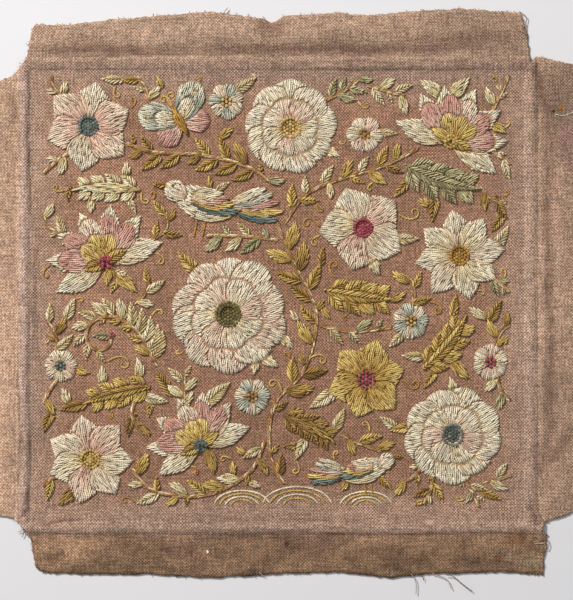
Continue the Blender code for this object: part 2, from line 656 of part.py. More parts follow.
def cloth_place(u, v):
    """Where a point of the squared-up pattern lies on the real, uneven sheet, in millimetres."""
    x, y, lift = u, v, 0.0
    west, east = FIELD_WEST - CREST, FIELD_EAST + CREST
    south, north = FIELD_SOUTH - CREST, FIELD_NORTH + CREST
    if v > north + CORNER_SPARE or v < south - CORNER_SPARE:
        table, edge = (NORTH_EDGE, north) if v > north else (SOUTH_EDGE, south)
        share = (v - edge) / (math.copysign(HALF_HIGH, v) - edge)
        x = u + along_table(share, table.drift, 1) * (east - u) / (east - west)
        x += along_table(share, table.drift, 2) * (u - west) / (east - west)
        y = edge + share * (along_table(u, table.cut) - edge)
        lift = FLAP_LIFT * math.sin(math.pi * share)**2 * (1 + math.sin(u / 31.0 + math.copysign(1.3, v)))
    elif u > east + CORNER_SPARE or u < west - CORNER_SPARE:
        table, edge = (EAST_EDGE, east) if u > east else (WEST_EDGE, west)
        share = (u - edge) / (math.copysign(HALF_WIDE, u) - edge)
        y = v + along_table(share, table.drift, 1) * (v - south) / (north - south)
        y += along_table(share, table.drift, 2) * (north - v) / (north - south)
        x = edge + share * (along_table(v, table.cut) - edge)
        lift = FLAP_LIFT * math.sin(math.pi * share)**2 * (1 + math.sin(v / 27.0 + math.copysign(0.7, u)))
    reach = 5.0 if v > south else 1.6
    near = math.exp(-((u - east) / 5.0) ** 2 - ((v - south) / reach) ** 2)
    return x + CORNER_OUT * near, y, lift + float(ridge_height(u, v))


def stations(low, high, inner_low, inner_high, step):
    """Grid lines across the sheet: close at the ridges, wide on the field."""
    flap, field = 3, round((inner_high - inner_low) / step)
    marks = list(np.linspace(low, inner_low - RIDGE_WIDE, flap + 1))
    marks += [inner_low - CREST, inner_low - RIDGE_WIDE / 4]
    marks += list(np.linspace(inner_low, inner_high, field + 1))
    marks += [inner_high + RIDGE_WIDE / 4, inner_high + CREST]
    return marks + list(np.linspace(inner_high + RIDGE_WIDE, high, flap + 1))


def make_cloth(material):
    """One cross-shaped sheet of linen, with a hollow ridge round its field and four turn-unders."""
    across = stations(-HALF_WIDE, HALF_WIDE, FIELD_WEST, FIELD_EAST, CLOTH_STEP)
    up = stations(-HALF_HIGH, HALF_HIGH, FIELD_SOUTH, FIELD_NORTH, CLOTH_STEP)
    wide, high = len(across) - 1, len(up) - 1
    bm = bmesh.new()
    bmesh.ops.create_grid(bm, x_segments=wide, y_segments=high, size=1)
    for vert in bm.verts:
        u = across[round((vert.co.x + 1) / 2 * wide)]
        v = up[round((vert.co.y + 1) / 2 * high)]
        vert.co = Vector((u, v, 0))
    spare = 0.1
    outside = [vert for vert in bm.verts
               if (vert.co.x < FIELD_WEST - CREST - spare or vert.co.x > FIELD_EAST + CREST + spare)
               and (vert.co.y < FIELD_SOUTH - CREST - spare or vert.co.y > FIELD_NORTH + CREST + spare)]
    bmesh.ops.delete(bm, geom=outside, context="VERTS")
    for vert in bm.verts:
        vert.co = Vector(cloth_place(vert.co.x, vert.co.y)) * MM
    cloth = add_object("ground_cloth", bm, material)
    wall = cloth.modifiers.new("cloth_thickness", "SOLIDIFY")
    wall.thickness = CLOTH_THICK * MM
    wall.offset = 1
    return cloth


# The wool: each worked piece as one low relief.

def ribbed_solid(left, middle, right, foot, edge, crown):
    """A closed relief over three rows of points: two edges and a raised rib between them."""
    count = len(middle) - 1
    rows = (left, middle, right)
    heights = (edge, crown, edge)
    bm = bmesh.new()
    bmesh.ops.create_grid(bm, x_segments=2, y_segments=count, size=1)
    for vert in bm.verts:
        row, k = round(vert.co.x + 1), round((vert.co.y + 1) / 2 * count)
        x, y = rows[row][k]
        vert.co = Vector((x, y, heights[row])) * MM
    close_below(bm, foot)
    return bm


def close_below(bm, foot):
    """Turn an open relief into a solid with a flat underside at the foot's height."""
    bmesh.ops.remove_doubles(bm, verts=bm.verts, dist=0.02 * MM)
    rim = [edge for edge in bm.edges if edge.is_boundary]
    skirt = bmesh.ops.extrude_edge_only(bm, edges=rim)["geom"]
    for vert in skirt:
        if isinstance(vert, bmesh.types.BMVert):
            vert.co.z = foot * MM
    loop = [edge for edge in skirt if isinstance(edge, bmesh.types.BMEdge) and edge.is_boundary]
    bmesh.ops.contextual_create(bm, geom=loop)
    bmesh.ops.recalc_face_normals(bm, faces=bm.faces)


def patch_solid(patch):
    steps = LARGE_STEPS if patch.length > LARGE_LEAF else SMALL_STEPS
    share = np.linspace(0, 1, steps + 1)
    rows = [np.stack(patch.at(side, share), 1) for side in (1, 0, -1)]
    top = WOOL_HIGH + LEVEL_HIGH * patch.level
    return ribbed_solid(*rows, WOOL_FOOT, WOOL_FOOT + WOOL_EDGE, WOOL_FOOT + top)


def stem_solid(path, wide):
    spots = path[:: max(1, round(STEM_STEP / PATH_STEP))]
    spots = np.vstack([spots, path[-1:]]) if np.hypot(*(path[-1] - spots[-1])) > 0.5 else spots
    turn = np.radians(headings(spots))
    aside = np.stack([-np.sin(turn), np.cos(turn)], 1) * wide / 2
    return ribbed_solid(spots + aside, spots, spots - aside, WOOL_FOOT, WOOL_FOOT + WOOL_EDGE,
                        WOOL_FOOT + STEM_HIGH)


def reach_of(patches, x, y, angle, far):
    """How far the patches go from a place in one direction."""
    out = np.arange(0.5, far, 0.25)
    px, py = x + out * math.cos(angle), y + out * math.sin(angle)
    held = np.zeros(len(out), bool)
    for patch in patches:
        held |= patch.inside(px, py)
    return float(out[held].max()) if held.any() else 0.5


def bloom_solid(work, bloom):
    """A bloom's relief: a grid wound round it, from its petals' outline over a crown to its heart."""
    crown = WOOL_FOOT + WOOL_HIGH
    rows = ((1.0, WOOL_FOOT + WOOL_EDGE), (0.82, crown), (HEART_SHARE[bloom.kind], crown + LEVEL_HIGH),
            (0.0, crown + LEVEL_HIGH))
    petals = [patch for patch in work.patches if patch.core]
    tips = [patch.at(0, 1) for patch in petals if patch.level in OUTER_LEVELS]
    marks = sorted(math.atan2(y - bloom.y, x - bloom.x) for x, y in tips)
    points = POINTS_A_PETAL[bloom.kind]
    angles = []
    for here, ahead in zip(marks, [*marks[1:], marks[0] + 2 * math.pi]):
        angles += [here + (ahead - here) * k / points for k in range(points)]
    count = len(angles)
    reach = [max(LEAST_REACH, reach_of(petals, bloom.x, bloom.y, angle, BLOOM_FAR)) for angle in angles]
    bm = bmesh.new()
    bmesh.ops.create_grid(bm, x_segments=count, y_segments=len(rows) - 1, size=1)
    for vert in bm.verts:
        k = round((vert.co.x + 1) / 2 * count) % count
        share, high = rows[round((vert.co.y + 1) / 2 * (len(rows) - 1))]
        x = bloom.x + share * reach[k] * math.cos(angles[k])
        y = bloom.y + share * reach[k] * math.sin(angles[k])
        vert.co = Vector((x, y, high)) * MM
    close_below(bm, WOOL_FOOT)
    return bm


def lobed_solid(work, leaf):
    """A large leaf's relief: its lobed edge on both sides of a raised rib."""
    rib = Patch(leaf.x, leaf.y, leaf.turn, leaf.length, leaf.width, "leaf", leaf.bend)
    share = np.linspace(0, 1, LOBED_STEPS + 1)
    middle = np.stack(rib.at(0, share), 1)
    sides = []
    for side in (1, -1):
        angles = np.radians(leaf.turn + leaf.bend * share + side * 90)
        reach = [reach_of(work.patches, x, y, angle, leaf.width) for (x, y), angle in zip(middle, angles)]
        sides.append(middle + np.stack([np.cos(angles), np.sin(angles)], 1) * np.array(reach)[:, None])
    return ribbed_solid(sides[0], middle, sides[1], WOOL_FOOT, WOOL_FOOT + WOOL_EDGE,
                        WOOL_FOOT + WOOL_HIGH + LEVEL_HIGH)


def one_body(mesh):
    """The mesh with its largest body alone: a sprig too fine to meet its piece is left to the stitches."""
    bm = bmesh.new()
    bm.from_mesh(mesh)
    bodies = []
    waiting = set(bm.verts)
    while waiting:
        body = {waiting.pop()}
        ahead = list(body)
        while ahead:
            for edge in ahead.pop().link_edges:
                for vert in set(edge.verts) - body:
                    body.add(vert)
                    ahead.append(vert)
        waiting -= body
        bodies.append(body)
    spare = [vert for body in sorted(bodies, key=len)[:-1] for vert in body]
    bmesh.ops.delete(bm, geom=spare, context="VERTS")
    bm.to_mesh(mesh)
    bm.free()
    return mesh


def joined(name, solids, material):
    """One object from solids that overlap: the first one, united with the rest."""
    first, *rest = solids
    piece = add_object(name, first, material)
    if not rest:
        return piece
    helpers = bpy.data.collections.new(name + "_parts")
    for k, bm in enumerate(rest):
        helper = add_object(f"{name}_part_{k}", bm, material)
        panel.objects.unlink(helper)
        helpers.objects.link(helper)
    unite = piece.modifiers.new("unite", "BOOLEAN")
    unite.operation = "UNION"
    unite.operand_type = "COLLECTION"
    unite.collection = helpers
    evaluated = piece.evaluated_get(bpy.context.evaluated_depsgraph_get())
    piece.data = one_body(bpy.data.meshes.new_from_object(evaluated))
    piece.modifiers.clear()
    for helper in list(helpers.objects):
        bpy.data.objects.remove(helper)
    bpy.data.collections.remove(helpers)
    return piece


def make_work(work, materials):
    """The relief of one worked piece, with the stems and leaves that grow out of it."""
    solids = []
    bloom = next((bloom for bloom in BLOOMS if bloom.name == work.name), None)
    leaf = next((leaf for leaf in LEAVES if leaf.name == work.name), None)
    loose = [patch for patch in work.patches if not patch.fine]
    if bloom:
        solids.append(bloom_solid(work, bloom))
        loose = [patch for patch in loose if not patch.core]
    elif leaf:
        solids.append(lobed_solid(work, leaf))
        loose = [patch for patch in loose if not patch.core]
    for line in work.lines:
        if line.style == "stem" and len(line.path) > 5:
            solids.append(stem_solid(line.path, STEM_WIDE))
    for patch in loose:
        solids.append(patch_solid(patch))
    return joined(work.name, solids, materials[work.wool])


def build():
    materials = {name: make_material(name) for name in COLOURS}
    make_cloth(materials["linen"])
    works, _ = layout()
    for work in works:
        if work.kind != "lines":
            make_work(work, materials)


for old in list(bpy.data.objects):
    bpy.data.objects.remove(old)
panel = bpy.data.collections.new("crewel_embroidery_panel")
bpy.context.scene.collection.children.link(panel)
build()
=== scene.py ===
"""Crewel embroidery panel from straight above: wool stitches on a linen sheet with pressed ridges."""

import math
import random
from collections import namedtuple

import bmesh
import bpy
import numpy as np
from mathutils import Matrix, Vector, noise


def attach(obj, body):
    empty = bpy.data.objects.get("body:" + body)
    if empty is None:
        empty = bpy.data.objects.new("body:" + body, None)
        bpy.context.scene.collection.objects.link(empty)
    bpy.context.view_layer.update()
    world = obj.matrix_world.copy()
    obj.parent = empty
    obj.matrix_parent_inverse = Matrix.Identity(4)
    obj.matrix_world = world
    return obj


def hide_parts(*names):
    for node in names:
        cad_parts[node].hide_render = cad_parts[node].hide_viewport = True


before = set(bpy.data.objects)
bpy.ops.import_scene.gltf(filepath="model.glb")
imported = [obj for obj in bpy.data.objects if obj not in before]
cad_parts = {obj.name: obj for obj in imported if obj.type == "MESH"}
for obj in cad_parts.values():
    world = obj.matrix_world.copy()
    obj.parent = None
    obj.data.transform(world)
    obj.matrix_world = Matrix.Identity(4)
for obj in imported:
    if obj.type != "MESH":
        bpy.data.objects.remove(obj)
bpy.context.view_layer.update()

# Lengths below are millimetres. The scene itself is in metres.
MM = 0.001


# Materials.

def linear(hex_colour):
    """An sRGB hex colour as linear light."""
    channels = [int(hex_colour[k:k + 2], 16) / 255 for k in (0, 2, 4)]
    return [c / 12.92 if c < 0.04045 else ((c + 0.055) / 1.055) ** 2.4 for c in channels]


def add(tree, kind, inputs=None, **settings):
    """A shader node of one kind with its settings, its inputs given as values or as other nodes' sockets."""
    node = tree.nodes.new("ShaderNode" + kind)
    for name, value in settings.items():
        setattr(node, name, value)
    for name, value in (inputs or {}).items():
        if isinstance(value, bpy.types.NodeSocket):
            tree.links.new(value, node.inputs[name])
        else:
            node.inputs[name].default_value = value
    return node


def new_material(name, roughness, sheen):
    """A fibre or paper material, with its node tree and its shader."""
    material = bpy.data.materials.new(name)
    material.use_nodes = True
    tree = material.node_tree
    shader = tree.nodes["Principled BSDF"]
    shader.inputs["Roughness"].default_value = roughness
    shader.inputs["IOR"].default_value = 1.5
    shader.inputs["Specular IOR Level"].default_value = 0.2
    shader.inputs["Sheen Weight"].default_value = sheen
    shader.inputs["Sheen Roughness"].default_value = 0.5
    return material, tree, shader


# The real threads are 0.6 mm apart. They are drawn wider, because the denoised render loses a weave that is
# finer than this and leaves one plain tone.
WEAVE_PITCH = 0.89
# How far the threads stray, how uneven a mark's rim is, how much of the cloth's tone a mark hides and how
# high over the table its middle lies.
THREAD_STRAY, MARK_RAGGED, MARK_COVER, MARK_HIGH = 1.6, 1.5, 0.85, 1.5

# Marks on the cloth: a place, a radius and a colour.
Mark = namedtuple("Mark", "x y radius colour")
MARKS = [Mark(*row) for row in (
    # Small holes and pale specks on the south and north sides: the hole is a dark spot, painted shade where
    # the cloth is open, and the palest speck is a painted highlight.
    (3.5, -145.5, 1.5, "33291F"), (-41.8, -149.6, 0.6, "E0D2BA"), (0, -156.6, 0.6, "D0BCA4"),
    (-15.6, 126.6, 1.2, "D0BCA8"), (-18, -158.6, 0.7, "B8A48C"),
    # The mauve patches, the stained tear and the nicks at the east edge: the dark spots beside the tear and
    # at the nicks are painted shade where the cloth is open.
    (168, 90, 7.5, "8F6E64"), (169, 75, 5.5, "967668"), (162.9, 107.2, 1.6, "98601E"),
    (158.6, 105.2, 0.9, "38221A"), (160.6, 48.8, 0.8, "48281F"), (162.4, 47.3, 0.7, "48281F"),
    # The brown stain and the darned patch at the south-east corner.
    (134, -142, 3.8, "7A563C"), (140, -141.6, 3.2, "7A563C"), (126.2, -153.5, 2.8, "785236"),
    (132.8, -152.6, 2.2, "A08A74"), (137.4, -154, 2.8, "947E66"), (144, -155.2, 4.2, "8E7A60"),
    (149.5, -156.5, 3.2, "8E7A60"),
)]


def linen_material():
    """Aged plain-weave linen: crossed threads of uneven thickness and tint, matt, browned in patches."""
    material, tree, shader = new_material("aged_plain_weave_linen", 0.95, 0.08)
    place = add(tree, "TexCoord").outputs["Object"]
    wander = add(tree, "TexNoise", {"Vector": place, "Scale": 42.0, "Detail": 2.0})
    shift = add(tree, "VectorMath", {0: wander.outputs["Color"], 1: (0.5, 0.5, 0.5)}, operation="SUBTRACT")
    shift = add(tree, "VectorMath", {0: shift.outputs[0], "Scale": THREAD_STRAY * MM}, operation="SCALE")
    woven = add(tree, "VectorMath", {0: place, 1: shift.outputs[0]}, operation="ADD")
    threads = add(tree, "VectorMath", {0: woven.outputs[0], "Scale": math.pi / (WEAVE_PITCH * MM)},
                  operation="SCALE")
    part = add(tree, "SeparateXYZ", {0: threads.outputs[0]})
    across = add(tree, "Math", {0: part.outputs["X"]}, operation="SINE")
    along = add(tree, "Math", {0: part.outputs["Y"]}, operation="SINE")
    cross = add(tree, "Math", {0: across.outputs[0], 1: along.outputs[0]}, operation="MULTIPLY")
    weave = add(tree, "MapRange", {"Value": cross.outputs[0], "From Min": -1.0, "From Max": 1.0})
    # Each thread keeps its own tint and thickness along its run, so the noise is stretched both ways.
    slubs = []
    for scale in ((1050.0, 110.0, 30.0), (110.0, 1050.0, 30.0)):
        run = add(tree, "Mapping", {"Vector": woven.outputs[0], "Scale": scale})
        slub = add(tree, "TexNoise", {"Vector": run.outputs[0], "Scale": 1.0, "Detail": 0.0})
        slubs.append(slub.outputs[0])
    slub = add(tree, "Math", {0: slubs[0], 1: slubs[1]}, operation="ADD")
    grain = add(tree, "TexNoise", {"Vector": place, "Scale": 1000.0, "Detail": 0.0})
    height = add(tree, "Math", {0: weave.outputs[0], 1: slub.outputs[0]}, operation="ADD")
    height = add(tree, "Math", {0: height.outputs[0], 1: grain.outputs[0]}, operation="ADD")
    # Colour: the tone painted on the sheet with its marks, then paler patches, then the weave's painted light
    # and shade, lighter on the threads' crowns and darker between them.
    painted = add(tree, "Attribute", attribute_name="tone")
    tone = painted.outputs["Color"]
    uneven = add(tree, "TexNoise", {"Vector": place, "Scale": 420.0, "Detail": 3.0})
    uneven = add(tree, "MapRange", {"Value": uneven.outputs[0], "To Min": -MARK_RAGGED * MM,
                                    "To Max": MARK_RAGGED * MM})
    for mark in MARKS:
        middle = (mark.x * MM, mark.y * MM, MARK_HIGH * MM)
        spot = add(tree, "VectorMath", {0: woven.outputs[0], 1: middle}, operation="DISTANCE")
        far = add(tree, "Math", {0: spot.outputs["Value"], 1: uneven.outputs[0]}, operation="ADD")
        near = add(tree, "MapRange", {"Value": far.outputs[0], "From Min": 0.6 * mark.radius * MM,
                                      "From Max": 1.3 * mark.radius * MM, "To Min": MARK_COVER,
                                      "To Max": 0.0})
        blot = (*linear(mark.colour), 1)
        tone = add(tree, "Mix", {0: near.outputs[0], 6: tone, 7: blot}, data_type="RGBA").outputs[2]
    patches = add(tree, "TexNoise", {"Vector": place, "Scale": 21.0, "Detail": 5.0, "Roughness": 0.62})
    soft_patch = add(tree, "MapRange", {"Value": patches.outputs[0], "From Min": 0.3, "From Max": 0.7,
                                   "To Min": 0.84, "To Max": 1.14})
    thread = add(tree, "MapRange", {"Value": slub.outputs[0], "From Min": 0.65, "From Max": 1.35,
                                    "To Min": 0.72, "To Max": 1.28})
    # The weave's painted light and shade shows less on the worn turn-unders, whose share of it is the tone's
    # fourth value.
    weave_light_and_shade = add(tree, "MapRange", {"Value": weave.outputs[0], "To Min": -0.6, "To Max": 0.62})
    weave_light_and_shade = add(tree, "Math", {0: weave_light_and_shade.outputs[0], 1: painted.outputs["Alpha"], 2: 1.01},
                   operation="MULTIPLY_ADD")
    speck = add(tree, "MapRange", {"Value": grain.outputs[0], "From Min": 0.3, "From Max": 0.7,
                                   "To Min": 0.7, "To Max": 1.32})
    shade = soft_patch
    for layer in (thread, weave_light_and_shade, speck):
        shade = add(tree, "Math", {0: shade.outputs[0], 1: layer.outputs[0]}, operation="MULTIPLY")
    shade = add(tree, "CombineXYZ", {0: shade.outputs[0], 1: shade.outputs[0], 2: shade.outputs[0]})
    cloth = add(tree, "Mix", {6: tone, 7: shade.outputs[0], 0: 1.0}, data_type="RGBA", blend_type="MULTIPLY")
    tree.links.new(cloth.outputs[2], shader.inputs["Base Color"])
    bump = add(tree, "Bump", {"Height": height.outputs[0], "Strength": 0.5, "Distance": 0.22 * MM})
    tree.links.new(bump.outputs[0], shader.inputs["Normal"])
    return material


# Two-ply crewel wool turns once in about 1.3 mm, and its plies lean this much round the strand.
TWIST_PITCH, PLY_LEAN = 1.3, 1.9


def wool_material():
    """Crewel wool: two fuzzy plies twisted together, matt with a soft bloom, dyed in uneven lots."""
    material, tree, shader = new_material("crewel_wool", 0.88, 0.3)
    dye = add(tree, "Attribute", attribute_name="dye").outputs["Color"]
    strand = add(tree, "UVMap", uv_map="strand").outputs[0]
    part = add(tree, "SeparateXYZ", {0: strand})
    run = add(tree, "Math", {0: part.outputs[0], 1: 2 * math.pi / TWIST_PITCH}, operation="MULTIPLY")
    lean = add(tree, "Math", {0: part.outputs[1], 1: PLY_LEAN}, operation="MULTIPLY")
    turn = add(tree, "Math", {0: run.outputs[0], 1: lean.outputs[0]}, operation="ADD")
    ply = add(tree, "Math", {0: turn.outputs[0]}, operation="SINE")
    place = add(tree, "TexCoord").outputs["Object"]
    fuzz = add(tree, "TexNoise", {"Vector": place, "Scale": 1400.0, "Detail": 2.0})
    lot = add(tree, "TexNoise", {"Vector": place, "Scale": 90.0, "Detail": 2.0})
    # The plies' crowns are painted lighter and the grooves between them darker: painted light and shade of
    # the twist.
    ply_light_and_shade = add(tree, "MapRange", {"Value": ply.outputs[0], "From Min": -1.0, "From Max": 1.0,
                                   "To Min": 0.72, "To Max": 1.16})
    hair = add(tree, "MapRange", {"Value": fuzz.outputs[0], "From Min": 0.3, "From Max": 0.7,
                                  "To Min": 0.74, "To Max": 1.2})
    fade = add(tree, "MapRange", {"Value": lot.outputs[0], "From Min": 0.3, "From Max": 0.7,
                                  "To Min": 0.93, "To Max": 1.06})
    shade = add(tree, "Math", {0: ply_light_and_shade.outputs[0], 1: hair.outputs[0]}, operation="MULTIPLY")
    shade = add(tree, "Math", {0: shade.outputs[0], 1: fade.outputs[0]}, operation="MULTIPLY")
    shade = add(tree, "CombineXYZ", {0: shade.outputs[0], 1: shade.outputs[0], 2: shade.outputs[0]})
    colour = add(tree, "Mix", {6: dye, 7: shade.outputs[0], 0: 1.0}, data_type="RGBA", blend_type="MULTIPLY")
    tree.links.new(colour.outputs[2], shader.inputs["Base Color"])
    height = add(tree, "Math", {0: ply.outputs[0], 1: fuzz.outputs[0]}, operation="ADD")
    bump = add(tree, "Bump", {"Height": height.outputs[0], "Strength": 0.5, "Distance": 0.12 * MM})
    tree.links.new(bump.outputs[0], shader.inputs["Normal"])
    return material


def thread_material():
    """Loose linen thread: the same aged flax as the sheet, matt and hairy, each thread in its own tint."""
    material, tree, shader = new_material("loose_linen_thread", 0.95, 0.1)
    dye = add(tree, "Attribute", attribute_name="dye").outputs["Color"]
    tree.links.new(dye, shader.inputs["Base Color"])
    return material


def floor_material():
    """Plain off-white backing paper, matt."""
    material, _, shader = new_material("pale_backing_paper", 0.9, 0.0)
    shader.inputs["Base Color"].default_value = (*linear("E0DFE1"), 1)
    return material


# Pieces: the ways in which they are finished.

def finish_piece(name, mesh, material, node=None):
    """Put a mesh in the scene as a piece that rides on the panel, and hide the solid that it takes the place
    of, where one is named.
    """
    piece = bpy.data.objects.new(name, mesh)
    piece.data.materials.append(material)
    bpy.context.scene.collection.objects.link(piece)
    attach(piece, "root")
    if node:
        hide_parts(node)
    return piece


def paint(mesh, name, colours):
    """Store a linear colour for each vertex, and a fourth value where one is given."""
    layer = mesh.attributes.new(name, "FLOAT_COLOR", "POINT")
    rgba = np.ones((len(mesh.vertices), 4), np.float32)
    rgba[:, :colours.shape[1]] = colours
    layer.data.foreach_set("color", rgba.ravel())


# The sheet: its cut edge, ridges and turn-unders, as its solid has them.

HALF_WIDE, HALF_HIGH = 177.0, 165.0
FIELD_WEST, FIELD_EAST = -145.0, 141.5
FIELD_SOUTH, FIELD_NORTH = -131.9, 129.6
RIDGE_WIDE, RIDGE_HIGH, CREST = 8.0, 1.7, 4.0
RIDGE_ENDS = 10.0
CORNER_SPARE = 0.01
# How far a turn-under rises between its ridge and its cut edge.
FLAP_LIFT = 1.1

# The cut edge of each turn-under: places along it, and how far its two ends drift as it runs out.
Turn = namedtuple("Turn", "cut drift")
NORTH_EDGE = Turn(
    cut=((-149, 155.7), (-127.6, 155.7), (-104.4, 158.6), (-43.5, 163.3), (-10.4, 159.8), (-4.6, 156.3),
         (1.2, 160.4), (34.8, 162.7), (53.4, 161), (81.2, 163.9), (110.2, 165), (145, 162.7)),
    drift=((0, 0, 0), (0.15, 2.3, -1), (0.6, 4, -2.4), (1, 6.3, -6.3)))
SOUTH_EDGE = Turn(
    cut=((-149, -159.4), (-144, -161.7), (-138, -162.2), (-113.7, -162.9), (-85.3, -162.7), (-46.4, -165),
         (-9.3, -162.7), (27.3, -161.5), (58, -165), (78.3, -162.7), (125.3, -161.5), (145, -163.3)),
    drift=((0, 0, 0), (0.12, 3, 9), (0.36, 5, 8.6), (0.66, 6, 7.6), (1, 7.5, 7)))
# The lower right corner isn't cut in as far as the others.
CORNER_OUT = 6.0
EAST_EDGE = Turn(
    cut=((-136, 176.2), (-70, 175.4), (0, 177), (60, 176.1), (134, 175.2)),
    drift=((0, 0, 0), (0.1, 3.6, 2), (0.54, 0.7, 6.3), (0.78, -0.5, 9.2), (1, -1.3, 11)))
WEST_EDGE = Turn(
    cut=((-136, -175.6), (-80, -177), (-20, -175.9), (40, -176.8), (134, -176)),
    drift=((0, 0, 0), (0.19, -6.9, 5.6), (0.48, -10.3, 6.9), (1, -13.5, 7.5)))


def along_table(value, table, column=1):
    """A value read from a short table of places by straight runs between its rows."""
    rows = np.array(table, float)
    return np.interp(value, rows[:, 0], rows[:, column])


def ridge_height(x, y):
    """How high the pressed ridge stands at a place."""
    beside = np.maximum(FIELD_WEST - x, x - FIELD_EAST)
    beyond = np.maximum(FIELD_SOUTH - y, y - FIELD_NORTH)
    height = 0.0
    for away, other in ((beside, beyond), (beyond, beside)):
        share = np.clip(away / RIDGE_WIDE, 0, 1)
        fade = np.clip((RIDGE_ENDS - other) / (RIDGE_ENDS - CREST), 0, 1)
        height = np.maximum(height, RIDGE_HIGH * fade * np.sin(np.pi * share))
    return height


def cloth_place(u, v):
    """Where a point of the squared-up pattern lies on the real, uneven sheet, in millimetres."""
    x, y, lift = u, v, 0.0
    west, east = FIELD_WEST - CREST, FIELD_EAST + CREST
    south, north = FIELD_SOUTH - CREST, FIELD_NORTH + CREST
    if v > north + CORNER_SPARE or v < south - CORNER_SPARE:
        table, edge = (NORTH_EDGE, north) if v > north else (SOUTH_EDGE, south)
        share = (v - edge) / (math.copysign(HALF_HIGH, v) - edge)
        x = u + along_table(share, table.drift, 1) * (east - u) / (east - west)
        x += along_table(share, table.drift, 2) * (u - west) / (east - west)
        y = edge + share * (along_table(u, table.cut) - edge)
        lift = FLAP_LIFT * math.sin(math.pi * share)**2 * (1 + math.sin(u / 31.0 + math.copysign(1.3, v)))
    elif u > east + CORNER_SPARE or u < west - CORNER_SPARE:
        table, edge = (EAST_EDGE, east) if u > east else (WEST_EDGE, west)
        share = (u - edge) / (math.copysign(HALF_WIDE, u) - edge)
        y = v + along_table(share, table.drift, 1) * (v - south) / (north - south)
        y += along_table(share, table.drift, 2) * (north - v) / (north - south)
        x = edge + share * (along_table(v, table.cut) - edge)
        lift = FLAP_LIFT * math.sin(math.pi * share)**2 * (1 + math.sin(v / 27.0 + math.copysign(0.7, u)))
    reach = 5.0 if v > south else 1.6
    near = math.exp(-((u - east) / 5.0) ** 2 - ((v - south) / reach) ** 2)
    return x + CORNER_OUT * near, y, lift + float(ridge_height(u, v))


# The design: every motif's place and shape, the same as the solids'.

# The part of the field that the wool fills, and the cells in which room is kept.
FIELD_LEFT, FIELD_RIGHT = -138.0, 134.0
FIELD_LOW, FIELD_HIGH = -124.0, 127.0
CELL = 0.5
SEED = 23
PATH_STEP = 1.2

Form = namedtuple("Form", "foot belly tip")
FORMS = {
    "leaf": Form(0.12, 0.42, 0.95),
    "blade": Form(0.10, 0.50, 0.90),
    "pointed": Form(0.36, 0.44, 1.05),
    "round": Form(0.34, 0.64, 0.52),
    "body": Form(0.30, 0.45, 0.60),
    "ball": Form(0.05, 0.50, 0.50),
}


class Patch:
    """A petal, leaf or feather: a shape of one form about a bent centre line.

    A fine patch has no solid of its own, and a patch without core is a small leaf of a stem or a sprig.
    """

    def __init__(self, x, y, turn, length, width, form, bend=0.0, wool="gold", level=0, fine=False,
                 core=True):
        self.x, self.y, self.turn = x, y, math.radians(turn)
        self.fine, self.core = fine, core
        self.length, self.width = length, width
        self.form, self.bend = FORMS[form], math.radians(bend)
        self.wool, self.level = wool, level

    def half_width(self, along):
        """Half the patch's width at a share of its length."""
        foot, belly, tip = self.form
        t = np.clip(along, 0.0, 1.0)
        rising = foot + (1 - foot) * np.sin(0.5 * np.pi * np.minimum(t / belly, 1.0))
        falling = np.cos(0.5 * np.pi * np.clip((t - belly) / (1 - belly), 0, 1)) ** tip
        return 0.5 * self.width * np.where(t < belly, rising, falling)

    def at(self, across, along, spare=0.0):
        """The place that is a share across and along the patch, with spare mm added at its edge."""
        across, along = np.broadcast_arrays(np.asarray(across, float), np.asarray(along, float))
        out = across * (self.half_width(along) + spare)
        angle = self.bend * along
        if abs(self.bend) < 1e-3:
            ahead, aside = self.length * along, np.zeros_like(along)
        else:
            radius = self.length / self.bend
            ahead, aside = radius * np.sin(angle), radius * (1 - np.cos(angle))
        ahead = ahead - out * np.sin(angle)
        aside = aside + out * np.cos(angle)
        c, s = math.cos(self.turn), math.sin(self.turn)
        return self.x + c * ahead - s * aside, self.y + s * ahead + c * aside

    def inside(self, x, y, spare=0.0):
        """Whether each place lies in the patch, grown by spare mm."""
        c, s = math.cos(self.turn), math.sin(self.turn)
        dx, dy = np.asarray(x, float) - self.x, np.asarray(y, float) - self.y
        ahead, aside = c * dx + s * dy, -s * dx + c * dy
        if abs(self.bend) < 1e-3:
            along, out = ahead / self.length, aside
        else:
            radius = self.length / self.bend
            sign = math.copysign(1.0, radius)
            along = np.arctan2(sign * ahead, sign * (radius - aside)) / self.bend
            out = radius - sign * np.hypot(ahead, radius - aside)
        edge = spare / self.length
        return (along > -edge) & (along < 1 + edge) & (np.abs(out) < self.half_width(along) + spare)

    def cloud(self, spare=0.0, gap=0.45):
        """Places all over the patch and spare mm round it, closer together than gap."""
        rows = int(self.length / gap) + 3
        lanes = int((self.width + 2 * spare) / gap) + 3
        edge = spare / self.length
        across, along = np.meshgrid(np.linspace(-1, 1, lanes), np.linspace(-edge, 1 + edge, rows))
        x, y = self.at(across, along, spare)
        return x.ravel(), y.ravel()


